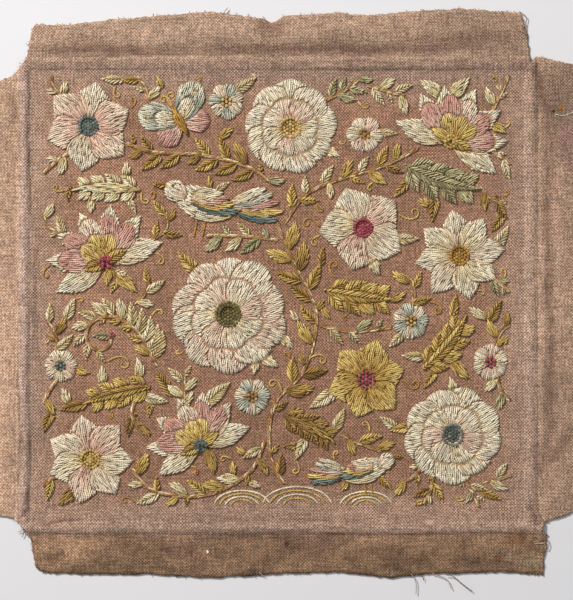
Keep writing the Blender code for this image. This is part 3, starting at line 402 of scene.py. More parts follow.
class Ground:
    """Which worked piece holds each cell of the field, so that pieces keep apart."""

    def __init__(self):
        self.wide = int((FIELD_RIGHT - FIELD_LEFT) / CELL) + 1
        self.high = int((FIELD_HIGH - FIELD_LOW) / CELL) + 1
        self.owner = np.zeros((self.high, self.wide), int)

    def cells(self, x, y):
        """The row and column of each place."""
        i = ((np.asarray(y) - FIELD_LOW) / CELL).astype(int)
        j = ((np.asarray(x) - FIELD_LEFT) / CELL).astype(int)
        return i, j

    def on_field(self, i, j):
        """Which cells lie on the worked field."""
        return (i >= 0) & (i < self.high) & (j >= 0) & (j < self.wide)

    def clear(self, x, y, own=0):
        """Whether all places are on the field and free, or held by the piece itself."""
        i, j = self.cells(x, y)
        if not self.on_field(i, j).all():
            return False
        held = self.owner[i, j]
        return bool(((held == 0) | (held == own)).all())

    def claim(self, x, y, own):
        """Give the cells at these places to a piece."""
        i, j = self.cells(x, y)
        good = self.on_field(i, j)
        self.owner[i[good], j[good]] = own


def smooth_path(points, step=PATH_STEP):
    """Points about step mm apart on a smooth curve through the given ones."""
    p = np.array(points, float)
    ends = np.vstack([2 * p[0] - p[1], p, 2 * p[-1] - p[-2]])
    out = []
    for a, b, c, d in zip(ends, ends[1:], ends[2:], ends[3:]):
        n = max(2, int(np.hypot(*(c - b)) / step))
        t = np.linspace(0, 1, n, endpoint=False)[:, None]
        out.append(0.5 * (2 * b + (c - a) * t + (2 * a - 5 * b + 4 * c - d) * t**2
                          + (3 * b - a - 3 * c + d) * t**3))
    return np.vstack([*out, p[-1:]])


class Work:
    """One worked piece: its patches from the lowest up, its lines and its knots."""

    def __init__(self, name, kind, wool):
        self.name, self.kind, self.wool = name, kind, wool
        self.patches, self.lines, self.knots = [], [], []


Line = namedtuple("Line", "path style wool")
Knot = namedtuple("Knot", "x y wool")

# The room that a piece keeps round itself, and the room that a new one asks for.
CLAIM_SPARE, TEST_SPARE = 0.25, 0.75
STEM_WIDE, TENDRIL_WIDE = 1.9, 0.9
# How near its foot a leaf may touch its own stem.
NEAR_FOOT, NEAR_SHARE = 4.6, 0.55
# How deep under each kind of piece a sprig's foot starts.
LEAST_DEEP = 2.0
FOOT_DEEP = {"double": 6.0, "open": 7.0, "fan": 9.0, "daisy": 4.0, "lobed": 3.5}
# The owner's number for cells that tendrils and other fine lines hold.
FINE_LINES = 999

# Filling the gaps: the room asked for at each pass, and the least room of a sprig and of a leaf
# that is still cut as a solid. Curls follow some passes, each with the room that it asks for.
ROOMS, TRIES = (11, 9, 7.6, 6, 4.8, 3.9, 3.2), 900
SPRIG_ROOM, FINE_ROOM = 7.5, 4.0
CURLS_AFTER, CURL_TRIES = {7.6: 6.0, 4.8: 4.2, 3.2: 2.8}, 400
TENDRIL_PITCH, TENDRIL_REACH = 26, 11
# The sizes tried in turn for a leaf and for a tendril, as shares of the full one.
LEAF_SIZES, TENDRIL_SIZES = (1.15, 0.92, 0.74, 0.58), (1.25, 1.0, 0.75)
# A small leaf's width as a share of its length.
LEAF_SLIM = 0.44
LEAF_WOOLS = ("gold_leaf", "gold_leaf", "gold_leaf", "sage_leaf", "olive_leaf", "cream_leaf",
              "cream_leaf")

Bloom = namedtuple("Bloom", "name kind x y reach petals turn wool heart")
BLOOMS = [Bloom(*row) for row in (
    ("bloom_summit", "double", 6, 96, 28, 9, 90, "cream", "gold"),
    ("bloom_north_west", "open", -111, 97, 27, 6, 80, "blush", "teal"),
    ("bloom_north_east", "fan", 99, 88, 34, 7, 62, "rose", "gold"),
    ("bloom_west", "fan", -101, 18, 35, 7, 116, "rose", "crimson"),
    ("bloom_east", "open", 104, 22, 27, 8, 100, "cream", "ochre"),
    ("bloom_middle", "double", -30, -12, 35, 10, 90, "blush", "olive"),
    ("bloom_inner_east", "open", 48, 38, 26, 5, 40, "ivory", "crimson"),
    ("bloom_south_west", "open", -110, -96, 27, 7, 100, "ivory", "gold"),
    ("bloom_south", "fan", -46, -88, 32, 7, 118, "rose", "teal"),
    ("bloom_south_east", "double", 100, -82, 29, 9, 70, "cream", "teal"),
    ("bloom_inner_south", "open", 50, -50, 24, 6, 15, "gold", "crimson"),
    ("daisy_1", "daisy", -31, 111, 11, 7, 20, "pale_blue", "gold"),
    ("daisy_2", "daisy", 49, 92, 11, 6, 0, "ivory", "ochre"),
    ("daisy_3", "daisy", -127, -42, 10, 7, 10, "ivory", "teal"),
    ("daisy_4", "daisy", 76, -16, 11, 7, 5, "pale_blue", "gold"),
    ("daisy_5", "daisy", 122, -40, 11, 6, 25, "ivory", "crimson"),
    ("daisy_6", "daisy", -16, -60, 11, 7, 15, "pale_blue", "ochre"),
)]

Leaf = namedtuple("Leaf", "name kind x y turn length width bend wool")
LEAVES = [Leaf(*row) for row in (
    ("big_leaf_1", "lobed", 25, 2, -16, 42, 25, 18, "gold_leaf"),
    ("big_leaf_2", "lobed", 71, 75, -32, 50, 27, 30, "sage_leaf"),
    ("big_leaf_3", "lobed", -74, -54, 187, 42, 21, 14, "gold_leaf"),
    ("big_leaf_4", "lobed", 1, -71, -16, 36, 20, -22, "olive_leaf"),
    ("big_leaf_5", "lobed", 82, -44, 34, 42, 23, 34, "gold_leaf"),
    ("big_leaf_6", "lobed", -80, 60, 174, 42, 20, 12, "cream_leaf"),
)]

Scroll = namedtuple("Scroll", "name x y turn reach hand wool")
SCROLL = Scroll("scroll_leaf", -71, -44, 112, 65, 1, "cream_leaf")

Bird = namedtuple("Bird", "name x y facing scale")
BIRDS = (Bird("bird_perched", -42, 50, -1, 1.0), Bird("bird_standing", 48, -104, 1, 0.74))

Butterfly = namedtuple("Butterfly", "name x y turn")
BUTTERFLY = Butterfly("butterfly", -58, 100, 118)

Stem = namedtuple("Stem", "name route leaf pitch wool")
STEMS = [Stem(*row) for row in (
    ("trunk", ((4, -114), (-6, -92), (-3, -64), (14, -44), (21, -12), (8, 18), (-1, 42), (5, 70)),
     15, 13, "olive_leaf"),
    ("spray_south_west", ((-8, -84), (-18, -104), (-44, -117), (-74, -114), (-88, -98)),
     13, 11, "gold_leaf"),
    ("spray_south_east", ((-1, -68), (20, -72), (44, -86), (66, -92), (78, -86)), 13, 11, "gold_leaf"),
    ("spray_east", ((22, -18), (40, -22), (62, -20), (84, -16), (96, -2)), 13, 11, "sage_leaf"),
    ("spray_north_east", ((2, 40), (16, 58), (40, 68), (60, 74), (80, 84)), 13, 11, "gold_leaf"),
    ("spray_north_west", ((2, 56), (-16, 72), (-44, 80), (-74, 82), (-92, 88)), 13, 11, "olive_leaf"),
    ("spray_west", ((4, 30), (-20, 33), (-46, 33), (-66, 28), (-84, 16)), 13, 11, "sage_leaf"),
)]

# The hillocks: the middle and half the width of each, and where they all stand.
HILLS = ((-22, 16), (10, 20), (50, 15))
HILL_FOOT = -123.0


def ring_of_petals(work, bloom, reach, count, wide, form, wool, rng, foot=0.16, level=0, span=360):
    """Petals, each with its foot near the bloom's middle, all round it or over a span of degrees."""
    for k in range(count):
        share = k / count if span == 360 else k / (count - 1) - 0.5
        angle = bloom.turn + span * share + rng.uniform(-3, 3)
        across = math.radians(angle)
        x = bloom.x + foot * reach * math.cos(across)
        y = bloom.y + foot * reach * math.sin(across)
        length = reach * (1 - foot) * rng.uniform(0.93, 1.03)
        bend = rng.uniform(-12, 12)
        work.patches.append(Patch(x, y, angle - bend / 2, length, wide, form, bend, wool, level))


def heart_knots(work, x, y, reach, wool, pitch=1.9):
    """French knots packed in a round heart."""
    rings = max(1, round(reach / pitch))
    work.knots.append(Knot(x, y, wool))
    for ring in range(1, rings + 1):
        count = 6 * ring
        for k in range(count):
            angle = 2 * math.pi * (k + 0.5 * (ring % 2)) / count
            radius = reach * ring / rings
            work.knots.append(Knot(x + radius * math.cos(angle), y + radius * math.sin(angle), wool))


def worked_bloom(bloom, rng):
    """A bloom of one of four kinds: its rings of petals and the knots in its heart."""
    work = Work(bloom.name, bloom.kind, bloom.wool)
    size, petals = bloom.reach, bloom.petals
    chord = 2 * size * math.sin(math.pi / petals)
    if bloom.kind == "double":
        ring_of_petals(work, bloom, size, petals, 1.15 * chord, "round", bloom.wool, rng)
        inner = bloom._replace(turn=bloom.turn + 180 / petals)
        count = petals - 2
        ring_of_petals(work, inner, 0.62 * size, count, 1.25 * size * math.sin(math.pi / count), "round",
                       "ivory", rng, 0.22, 1)
        heart_knots(work, bloom.x, bloom.y, 0.2 * size, bloom.heart)
    elif bloom.kind == "open":
        ring_of_petals(work, bloom, size, petals, 0.8 * chord, "pointed", bloom.wool, rng)
        heart_knots(work, bloom.x, bloom.y, 0.19 * size, bloom.heart)
    elif bloom.kind == "daisy":
        ring_of_petals(work, bloom, size, petals, 0.875 * chord, "round", bloom.wool, rng, 0.2)
        heart_knots(work, bloom.x, bloom.y, 0.22 * size, bloom.heart)
    else:
        ring_of_petals(work, bloom, size, petals, 0.42 * size, "pointed", "cream", rng, 0.1, 0, 190)
        ring_of_petals(work, bloom, 0.78 * size, petals - 2, 0.4 * size, "round", bloom.wool, rng, 0.1,
                       1, 120)
        ring_of_petals(work, bloom, 0.5 * size, 3, 0.3 * size, "round", "gold", rng, 0.0, 2, 66)
        ring_of_petals(work, bloom, 0.42 * size, 2, 0.2 * size, "leaf", "gold_leaf", rng, 0.0, 3, 170)
        heart_knots(work, bloom.x, bloom.y, 0.1 * size, bloom.heart)
    return work


def worked_leaf(leaf):
    """A large leaf: pairs of lobes that lean forward from a bent midrib, and a blade over them."""
    work = Work(leaf.name, leaf.kind, leaf.wool)
    rib = Patch(leaf.x, leaf.y, leaf.turn, leaf.length, leaf.width, "leaf", leaf.bend)
    pairs = 4
    for k in range(pairs):
        along = 0.1 + 0.62 * k / (pairs - 1)
        x, y = (float(v) for v in rib.at(0, along))
        heading = leaf.turn + leaf.bend * along
        length = leaf.width * (0.62 - 0.18 * abs(k / (pairs - 1) - 0.35))
        for side in (-1, 1):
            work.patches.append(Patch(x, y, heading + side * 52, length, 0.46 * length + 2, "leaf",
                                      -side * 22, leaf.wool))
    work.patches.append(Patch(leaf.x, leaf.y, leaf.turn, leaf.length, 0.3 * leaf.width, "leaf", leaf.bend,
                              leaf.wool, 1))
    return work


def worked_scroll(scroll):
    """A leaf whose midrib winds into a loop, with lobes along its outer side."""
    work = Work(scroll.name, "scroll", scroll.wool)
    rib = curl(scroll.x, scroll.y, scroll.turn, scroll.reach, scroll.hand)
    turns = headings(rib)
    count = 13
    for k in range(count):
        spot = int(4 + 46 * k / (count - 1))
        size = 17.5 - 0.72 * k
        work.patches.append(Patch(*rib[spot], turns[spot] - scroll.hand * 58, size, 0.5 * size, "leaf",
                                  scroll.hand * 26, scroll.wool))
    for k in range(5):
        spot = 6 + 6 * k
        size = 11 - 1.1 * k
        work.patches.append(Patch(*rib[spot], turns[spot] + scroll.hand * 50, size, 0.46 * size, "leaf",
                                  -scroll.hand * 24, "gold_leaf"))
    work.lines.append(Line(rib, "stem", "gold"))
    work.knots += [Knot(*rib[-1] + np.array(spot), "crimson") for spot in ((0, 0), (1.8, 0.6), (0.6, 1.9))]
    return work


def worked_bird(bird):
    """A songbird: tail feathers, a full breast, a head with its beak, and a folded wing over them."""
    work = Work(bird.name, "bird", "cream")
    m, s = bird.facing, bird.scale

    def feather(dx, dy, turn, length, width, form, bend, wool, level=0, fine=False):
        heading = turn if m > 0 else 180 - turn
        work.patches.append(Patch(bird.x + m * dx * s, bird.y + dy * s, heading, length * s, width * s, form,
                                  m * bend, wool, level, fine))

    for k, wool in enumerate(("teal", "gold", "rose", "pale_blue", "cream")):
        feather(-12, -1 + 0.8 * k, 200 - 9 * k, 34 - 3 * abs(k - 1), 6.5, "blade", -14, wool)
    feather(-15, -3, 12, 38, 20, "body", 16, "cream")
    feather(12, 5, 34, 15, 13, "ball", 0, "ivory", 1)
    feather(23.5, 12.5, 8, 8, 4.2, "leaf", -10, "ochre", 1)
    for k, wool in enumerate(("teal", "gold", "rose", "cream")):
        feather(9, 2 + 1.6 * k, 196 - 5 * k, 29 - 3.4 * k, 8, "blade", -12, wool, 1, k > 0)
    for dx in (1, 6):
        leg = [(bird.x + m * (dx + t) * s, bird.y - (8 + 9 * t / 2) * s) for t in (0, 0.8, 2)]
        work.lines.append(Line(smooth_path(leg), "tendril", "ochre"))
    work.knots.append(Knot(bird.x + m * 20 * s, bird.y + 12.5 * s, "olive"))
    return work


def worked_butterfly(fly):
    """A butterfly seen from above, with two pairs of wings and two feelers."""
    work = Work(fly.name, "butterfly", "gold")
    x, y, turn = fly.x, fly.y, fly.turn
    ahead = np.array([math.cos(math.radians(turn)), math.sin(math.radians(turn))])
    for side in (1, -1):
        work.patches.append(Patch(x, y, turn + side * 112, 18, 14, "round", side * 14, "rose"))
        work.patches.append(Patch(x, y, turn + side * 56, 25, 17, "round", -side * 12, "pale_blue"))
    for side in (1, -1):
        work.patches.append(Patch(x, y, turn + side * 56, 15, 9, "round", -side * 8, "cream", 1))
        wing = math.radians(turn + side * 56)
        work.knots += [Knot(x + r * math.cos(wing), y + r * math.sin(wing), "gold") for r in (18, 20)]
        work.lines.append(Line(curl(*(x, y) + 9 * ahead, turn + side * 14, 12, -side), "tendril", "gold"))
    work.patches.append(Patch(*(x, y) - 10 * ahead, turn, 20, 5, "blade", 0, "ochre", 2))
    return work


def headings(path):
    """The direction of a path at each of its points, in degrees."""
    steps = np.gradient(path, axis=0)
    return np.degrees(np.arctan2(steps[:, 1], steps[:, 0]))


def walked(path):
    """How far along a path each of its points lies."""
    return np.concatenate([[0], np.cumsum(np.hypot(*np.diff(path, axis=0).T))])


def ribbon(path, wide):
    """Places all over a stem wide mm across."""
    turn = np.radians(headings(path))
    aside = np.stack([-np.sin(turn), np.cos(turn)], 1)
    lanes = np.linspace(-wide / 2, wide / 2, max(3, int(wide / 0.4) + 1))
    spots = path[None] + lanes[:, None, None] * aside[None]
    return spots[..., 0].ravel(), spots[..., 1].ravel()


def clear_run(ground, path, wide, own=0):
    """The longest stretch of a path whose stem keeps clear of the pieces already placed."""
    free = []
    turn = np.radians(headings(path))
    for (x, y), angle in zip(path, turn):
        across = np.linspace(-wide / 2 - TEST_SPARE, wide / 2 + TEST_SPARE, 9)
        free.append(ground.clear(x - across * math.sin(angle), y + across * math.cos(angle), own))
    best, start = (0, 0), 0
    for k, good in enumerate([*free, False]):
        if not good:
            if k - start > best[1] - best[0]:
                best = (start, k)
            start = k + 1
    return path[best[0]:best[1]]


def fits(ground, patch, own):
    """Whether a leaf lies clear of all else, its foot alone touching its own stem."""
    x, y = patch.cloud(TEST_SPARE)
    px, py = patch.x, patch.y
    near = np.hypot(x - px, y - py) < max(NEAR_FOOT, NEAR_SHARE * patch.length)
    return ground.clear(x[near], y[near], own) and ground.clear(x[~near], y[~near])


def place(ground, patch, own):
    """Give the cells under a patch to its piece."""
    ground.claim(*patch.cloud(CLAIM_SPARE), own)


def set_leaves(work, ground, own, path, pitch, size, rng, wool):
    """Leaves that spring from a stem by turns to its left and right, smaller where there is less room."""
    walk, turns = walked(path), headings(path)
    side = 1
    for spot in np.arange(0.45 * pitch, walk[-1] - 1, pitch / 2):
        k = int(np.searchsorted(walk, spot))
        side = -side
        for share in LEAF_SIZES:
            lean = rng.uniform(38, 62)
            length = size * share * rng.uniform(0.9, 1.1)
            leaf = Patch(*path[k], turns[k] + side * lean, length, LEAF_SLIM * length, "leaf",
                         -side * rng.uniform(5, 28), wool, core=False)
            if fits(ground, leaf, own):
                place(ground, leaf, own)
                work.patches.insert(0, leaf)
                break


def curl(x, y, turn, reach, hand):
    """A tendril's path: out along a slow bend and round into an open loop."""
    t = np.linspace(0, 1, 60)
    bend = hand * (0.35 * t + 5.6 * t**2.6)
    heading = math.radians(turn) + np.cumsum(np.gradient(bend))
    step = reach / 60 * 1.35
    return np.stack([x + np.cumsum(np.cos(heading)) * step, y + np.cumsum(np.sin(heading)) * step], 1)


def clear_around(ground, path):
    """Whether a fine line and a millimetre round it lie clear of all else."""
    x, y = path[:, 0], path[:, 1]
    return all(ground.clear(x + dx, y + dy) for dx in (-1, 0, 1) for dy in (-1, 0, 1))


def set_tendrils(work, ground, path, pitch, size, rng):
    """Tendrils off a stem wherever its leaves leave room."""
    walk, turns = walked(path), headings(path)
    for spot in np.arange(4, walk[-1] - 2, pitch):
        k = int(np.searchsorted(walk, spot))
        for side in (1, -1):
            for share in TENDRIL_SIZES:
                loop = curl(*path[k], turns[k] + side * rng.uniform(25, 50), size * share, side)
                if clear_around(ground, loop[8:]):
                    ground.claim(*ribbon(loop, TENDRIL_WIDE + 0.6), FINE_LINES)
                    work.lines.append(Line(loop, "tendril", "gold"))
                    break


Near = namedtuple("Near", "gap x y own")


def nearest_owned(ground, x, y, far):
    """The closest held cell within far mm of a place, with its distance and its owner."""
    (i,), (j,) = ground.cells([x], [y])
    reach = int(far / CELL)
    low_i, low_j = max(0, i - reach), max(0, j - reach)
    window = ground.owner[low_i:i + reach + 1, low_j:j + reach + 1]
    held_i, held_j = np.nonzero(window)
    if len(held_i) == 0:
        return None
    px = FIELD_LEFT + (held_j + low_j + 0.5) * CELL
    py = FIELD_LOW + (held_i + low_i + 0.5) * CELL
    gaps = np.hypot(px - x, py - y)
    k = int(gaps.argmin())
    return Near(gaps[k], px[k], py[k], int(window[held_i[k], held_j[k]]))


def fill_gap(works, ground, x, y, rng, room):
    """A small sprig or leaf that grows out of the nearest piece into an open place."""
    found = nearest_owned(ground, x, y, room + 6)
    if found is None or found.gap < room or found.own > len(works):
        return
    gap, px, py, own = found
    work = works[own - 1]
    heading = math.degrees(math.atan2(y - py, x - px))
    back = math.radians(heading)
    deep = FOOT_DEEP.get(work.kind, LEAST_DEEP)
    inward = back
    if own <= len(BLOOMS):
        bloom = BLOOMS[own - 1]
        inward = math.atan2(py - bloom.y, px - bloom.x)
    foot = (px - deep * math.cos(inward), py - deep * math.sin(inward))
    wool = rng.choice(LEAF_WOOLS)
    if room > SPRIG_ROOM:
        bow = rng.choice((-1, 1)) * 2.5
        mid = (px + 0.6 * gap * math.cos(back) - bow * math.sin(back),
               py + 0.6 * gap * math.sin(back) + bow * math.cos(back))
        end = (px + 1.45 * gap * math.cos(back), py + 1.45 * gap * math.sin(back))
        path = clear_run(ground, smooth_path((foot, mid, end)), STEM_WIDE, own)
        if len(path) < 6:
            return
        ground.claim(*ribbon(path, STEM_WIDE + 2 * CLAIM_SPARE), own)
        work.lines.insert(0, Line(path, "stem", wool))
        set_leaves(work, ground, own, path, 8, 10.5, rng, wool)
        tip = Patch(*path[-3], headings(path)[-1], 10, 5.4, "leaf", rng.uniform(-15, 15), wool, core=False)
        if fits(ground, tip, own):
            place(ground, tip, own)
            work.patches.insert(0, tip)
        return
    for length in (deep + 2.0 * gap, deep + 1.6 * gap, deep + 1.2 * gap):
        for lean in (0, 14, -14):
            leaf = Patch(*foot, heading + lean, length, 0.42 * length, "leaf", rng.uniform(-18, 18), wool,
                         fine=room < FINE_ROOM, core=False)
            if fits(ground, leaf, own):
                place(ground, leaf, own)
                work.patches.insert(0, leaf)
                return


def fill_curl(works, ground, x, y, rng, room):
    """A fine curl that grows out of the nearest piece into an open place."""
    found = nearest_owned(ground, x, y, room + 4)
    if found is None or found.gap < room or found.own > len(works):
        return
    gap, px, py, own = found
    heading = math.degrees(math.atan2(y - py, x - px))
    hand = rng.choice((-1, 1))
    for reach in (2.2 * gap, 1.7 * gap, 1.3 * gap):
        loop = curl(px, py, heading - hand * 30, reach, hand)
        if clear_around(ground, loop[14:]):
            ground.claim(*ribbon(loop, TENDRIL_WIDE + 0.6), FINE_LINES)
            works[own - 1].lines.append(Line(loop, "tendril", rng.choice(("gold", "ochre"))))
            return


def hill_lines(ground):
    """Rounded hillocks under the trunk, each worked as a few nested bows."""
    work = Work("hillocks", "lines", "cream")
    for x, wide in HILLS:
        for k in range(4):
            reach = wide * (1 - 0.2 * k)
            t = np.linspace(0.04 * math.pi, 0.96 * math.pi, 30)
            bow = np.stack([x + reach * np.cos(t), HILL_FOOT + 0.55 * reach * np.sin(t)], 1)
            work.lines.append(Line(bow, "hill", ("cream", "gold")[k % 2]))
            ground.claim(*ribbon(bow, 2.0), FINE_LINES)
    return work


def open_place(rng):
    """A random place on the worked field."""
    return rng.uniform(FIELD_LEFT + 1, FIELD_RIGHT - 1), rng.uniform(FIELD_LOW + 1, FIELD_HIGH - 1)


def layout():
    """All worked pieces, in the order in which they are placed."""
    rng = random.Random(SEED)
    ground = Ground()
    works = [worked_bloom(bloom, rng) for bloom in BLOOMS] + [worked_leaf(leaf) for leaf in LEAVES]
    works += [worked_scroll(SCROLL), *(worked_bird(bird) for bird in BIRDS), worked_butterfly(BUTTERFLY)]
    for own, work in enumerate(works, 1):
        for patch in work.patches:
            place(ground, patch, own)
        for line in work.lines:
            ground.claim(*ribbon(line.path, STEM_WIDE), own if line.style == "stem" else FINE_LINES)
    hills = hill_lines(ground)
    sprays = []
    for stem in STEMS:
        own = len(works) + 1
        work = Work(stem.name, "spray", stem.wool)
        path = clear_run(ground, smooth_path(stem.route), STEM_WIDE)
        ground.claim(*ribbon(path, STEM_WIDE + 2 * CLAIM_SPARE), own)
        work.lines.append(Line(path, "stem", stem.wool))
        sprays.append((own, work, path, stem))
        works.append(work)
    for _, work, path, _ in sprays:
        set_tendrils(work, ground, path, TENDRIL_PITCH, TENDRIL_REACH, rng)
    for own, work, path, stem in sprays:
        set_leaves(work, ground, own, path, stem.pitch, stem.leaf, rng, stem.wool)
    for room in ROOMS:
        for _ in range(TRIES):
            fill_gap(works, ground, *open_place(rng), rng, room)
        if room in CURLS_AFTER:
            for _ in range(CURL_TRIES):
                fill_curl(works, ground, *open_place(rng), rng, CURLS_AFTER[room])
    return [*works, hills]


# The sheet as it shows: finer than its solid, with uneven ridges, creases, puckers and frayed edges.

SHEET_THICK = 0.9
# The grid's steps on the field and beside the ridges, and how far beside them the fine step reaches.
FINE_STEP, RIDGE_STEP, RIDGE_REACH = 2.4, 0.6, 9.5
# How ragged the cut edge is.
RAGGED = 0.45
# The share by which the north ridge is pressed lower, and how the turn-unders' side cuts settle.
NORTH_SINK = 0.3
SIDE_KEEP, SIDE_REACH = 0.1, 12.0

# Soft creases and swells: from one place to another, how wide, how high (down is less than 0).
Crease = namedtuple("Crease", "x1 y1 x2 y2 wide high")
CREASES = [Crease(*row) for row in (
    # The north ridge and turn-under.
    (-146, 130.0, 138, 130.8, 2.2, 0.6), (-144, 141.4, -60, 140.8, 2.6, -0.5),
    (-60, 140.8, 140, 143.0, 2.8, -0.5), (-120, 147, -30, 150, 6.0, 0.6), (20, 153, 120, 151, 7.0, 0.6),
    (60, 146.5, 146, 149, 3.0, -0.4), (-14, 158, 4, 150, 5.0, -0.5), (138, 133, 152, 124, 1.8, -0.5),
    (-137, 136.8, 4, 139.8, 0.8, -0.3), (6, 133.9, 80, 133.6, 0.9, -0.28),
    (80, 133.4, 142, 138.2, 0.9, -0.34), (20, 130.8, 138, 131.8, 2.4, 0.45),
    (92, 128.4, 140, 136.0, 1.4, -0.26),
    # The south ridge and turn-under.
    (-138, -133.0, 136, -133.2, 1.7, -0.3), (-147, -140.8, 146, -140.8, 2.4, -0.22),
    (-136, -127.6, 134, -127.4, 3.0, 0.45), (-146, -134.2, -112, -131, 1.5, -0.6),
    (-88, -139.5, -84, -160, 5.0, 0.6), (-70, -141, -40, -158, 5.0, -0.5), (75, -140, 58, -163, 5.0, 0.5),
    (20, -141, 22, -158, 8.0, -0.35), (118, -150, 146, -141, 3.0, 0.5),
    (-140.5, -120, -146, -138, 1.5, 0.6), (144, -120, 150, -138, 1.7, -0.5),
    (-20, -137.0, 60, -136.2, 0.8, -0.22), (-146, -139.6, 144, -139.6, 1.6, 0.4),
    # The west side.
    (-144.8, 126, -144.8, -124, 1.9, 0.65), (-147.4, 122, -147, 34, 1.6, 0.5),
    (-147, 14, -147.8, -128, 1.8, 0.7), (-150.8, -30, -150.6, -130, 1.3, -0.4),
    (-151.6, 118, -151, 70, 1.6, -0.3), (-141.4, 60, -141, -60, 1.6, -0.3),
    (-160, 90, -158, -90, 6.0, 0.35), (-157, 120, -152, 96, 3.0, -0.4),
    (-144.6, -112, -150, -134, 1.6, -0.6), (-146, 118, -146.6, 60, 0.9, -0.3),
    (-151, 20, -150, -60, 0.9, -0.2),
    # The east side.
    (150.6, 118, 151, -122, 3.2, 1.25), (156, 112, 156.6, -118, 2.8, -0.5), (161, 60, 159, -40, 5.0, 0.5),
    (148, -104, 172, -78, 4.4, -0.45), (147, 134, 157, 100, 2.2, -0.8), (151.5, 132, 161, 102, 2.2, 0.6),
)]


def tones(**named):
    """A linear colour for each named part."""
    return {name: np.array(linear(tone)) for name, tone in named.items()}


# The tones of the sheet: the field, its paler border, the creases' bottoms in painted shade, each turn-under,
# and each ridge's crest, partly wear and partly painted highlight and shade.
TONES = tones(field="926D57", border="A08573", crease="705346")
TURN_TONES = tones(north="A18570", south="836750", west="B8967D", east="A88A74")
RIDGE_WEAR_AND_LIGHT_TONES = tones(north="8F7464", south="9E8472", west="B2978A", east="A58977")
# How wide the border is, over how many mm a turn-under's tone comes in, how far the ridge's crest is painted
# to its own tone (partly wear, partly painted highlight and shade), and how far a crease's bottom is painted
# with its own, as painted shade.
BORDER_WIDE, TURN_SOFT, WORN_AND_LIT_SHARE, CREASE_SHADE_SHARE = 26.0, 6.0, 0.8, 0.85
# How strongly each part of the sheet is mottled, and how much of the weave's painted light and shade still
# shows there.
MOTTLED = {"field": 0.1, "north": 0.16, "south": 0.46, "west": 0.12, "east": 0.16}
WEAVE_SHARES = {"field": 1.08, "north": 0.72, "south": 0.8, "west": 0.62, "east": 0.78}

# Soft stains, and painted light and shade: long bands along the ridges and creases, and a spot at a fold.
# Each has a place, how far it reaches and what share of the shown brightness it keeps, which a power turns to
# a share of linear light.
SHOWN_POWER = 2.2
StainAndPaintedLight = namedtuple("StainAndPaintedLight", "x y wide high keep")
STAINS_AND_PAINTED_LIGHT = [StainAndPaintedLight(*row) for row in (
    # The north side.
    (126, 150, 30, 10, 0.97), (-132, 150, 10, 7, 1.02), (-86, 154, 12, 6, 1.05), (30, 150, 16, 5, 0.95),
    # The second and third of these are long bands along the north turn-under's creases, painted darker:
    # painted shade.
    (-110, 152, 26, 8, 0.97), (-80, 142, 60, 4, 0.92), (60, 144, 70, 5, 0.94), (-40, 156, 22, 5, 1.06),
    # A band along the north ridge's foot, painted darker: painted shade.
    (0, 126, 120, 6, 0.94),
    # The south side.
    (-92, -147, 13, 9, 0.84), (-20, -150, 30, 12, 0.95), (-112, -156, 22, 4, 1.1), (-70, -150, 6, 5, 0.9),
    (10, -158, 14, 4, 1.1), (60, -150, 16, 8, 0.94), (104, -158, 10, 4, 0.9), (118, -146, 8, 4, 0.92),
    (144, -150, 3, 8, 1.1), (100, -152, 40, 12, 1.03), (-124, -149, 15, 7, 1.2), (134, -154, 7, 5, 1.12),
    # The last of these is a band along the south ridge's foot, painted lighter: painted light.
    (-64, -143, 9, 5, 1.14), (-48, -156, 16, 6, 1.12), (36, -144, 12, 4, 1.12), (0, -126, 120, 6, 1.04),
    # The west side.
    (-168, 96, 14, 26, 0.88), (-172, -90, 14, 40, 1.15), (-174, -20, 10, 50, 1.05),
    (-174, 10, 12, 60, 0.96),
    # The east side.
    # The last of these darkens the fold at the north-east corner: painted shade.
    (166, 108, 12, 34, 0.78), (170, -84, 14, 40, 0.95), (165, 0, 12, 40, 1.05), (156, 112, 5, 14, 0.86),
    # Two bands along the east ridge's feet, painted lighter: painted light.
    (134, 0, 4, 110, 1.03), (152, 0, 3, 110, 1.04),
    # The field.
    (-118, 20, 36, 90, 1.07), (0, 100, 60, 24, 1.04), (110, 0, 30, 50, 1.06), (0, -104, 70, 26, 0.96),
)]


def swell(x, y):
    """Slow unevenness of cloth that was once stretched, in millimetres."""
    return (0.12 * math.sin(x / 17.0 + 1.3 * math.sin(y / 23.0))
            + 0.1 * math.sin(y / 13.0 + 1.7 * math.sin(x / 29.0)))


def creased(x, y):
    """How far the creases raise or lower a place, and how deep in a crease it lies, from 0 to 1."""
    rise, deep = 0.0, 0.0
    for crease in CREASES:
        run_x, run_y = crease.x2 - crease.x1, crease.y2 - crease.y1
        length = math.hypot(run_x, run_y)
        share = ((x - crease.x1) * run_x + (y - crease.y1) * run_y) / length**2
        if not -0.1 < share < 1.1:
            continue
        wander = 0.8 * math.sin(9.0 * share + crease.x1) + 0.4 * math.sin(31.0 * share + crease.y1)
        off = ((y - crease.y1) * run_x - (x - crease.x1) * run_y) / length + wander
        ends = min(1.0, max(0.0, 1.1 - abs(2 * share - 1) ** 3))
        near = math.exp(-(off / crease.wide) ** 2) * ends
        rise += crease.high * near * (0.75 + 0.25 * math.sin(23.0 * share + crease.y2))
        if crease.high < 0:
            deep = max(deep, near * min(1.0, -crease.high * 1.6))
    return rise, deep


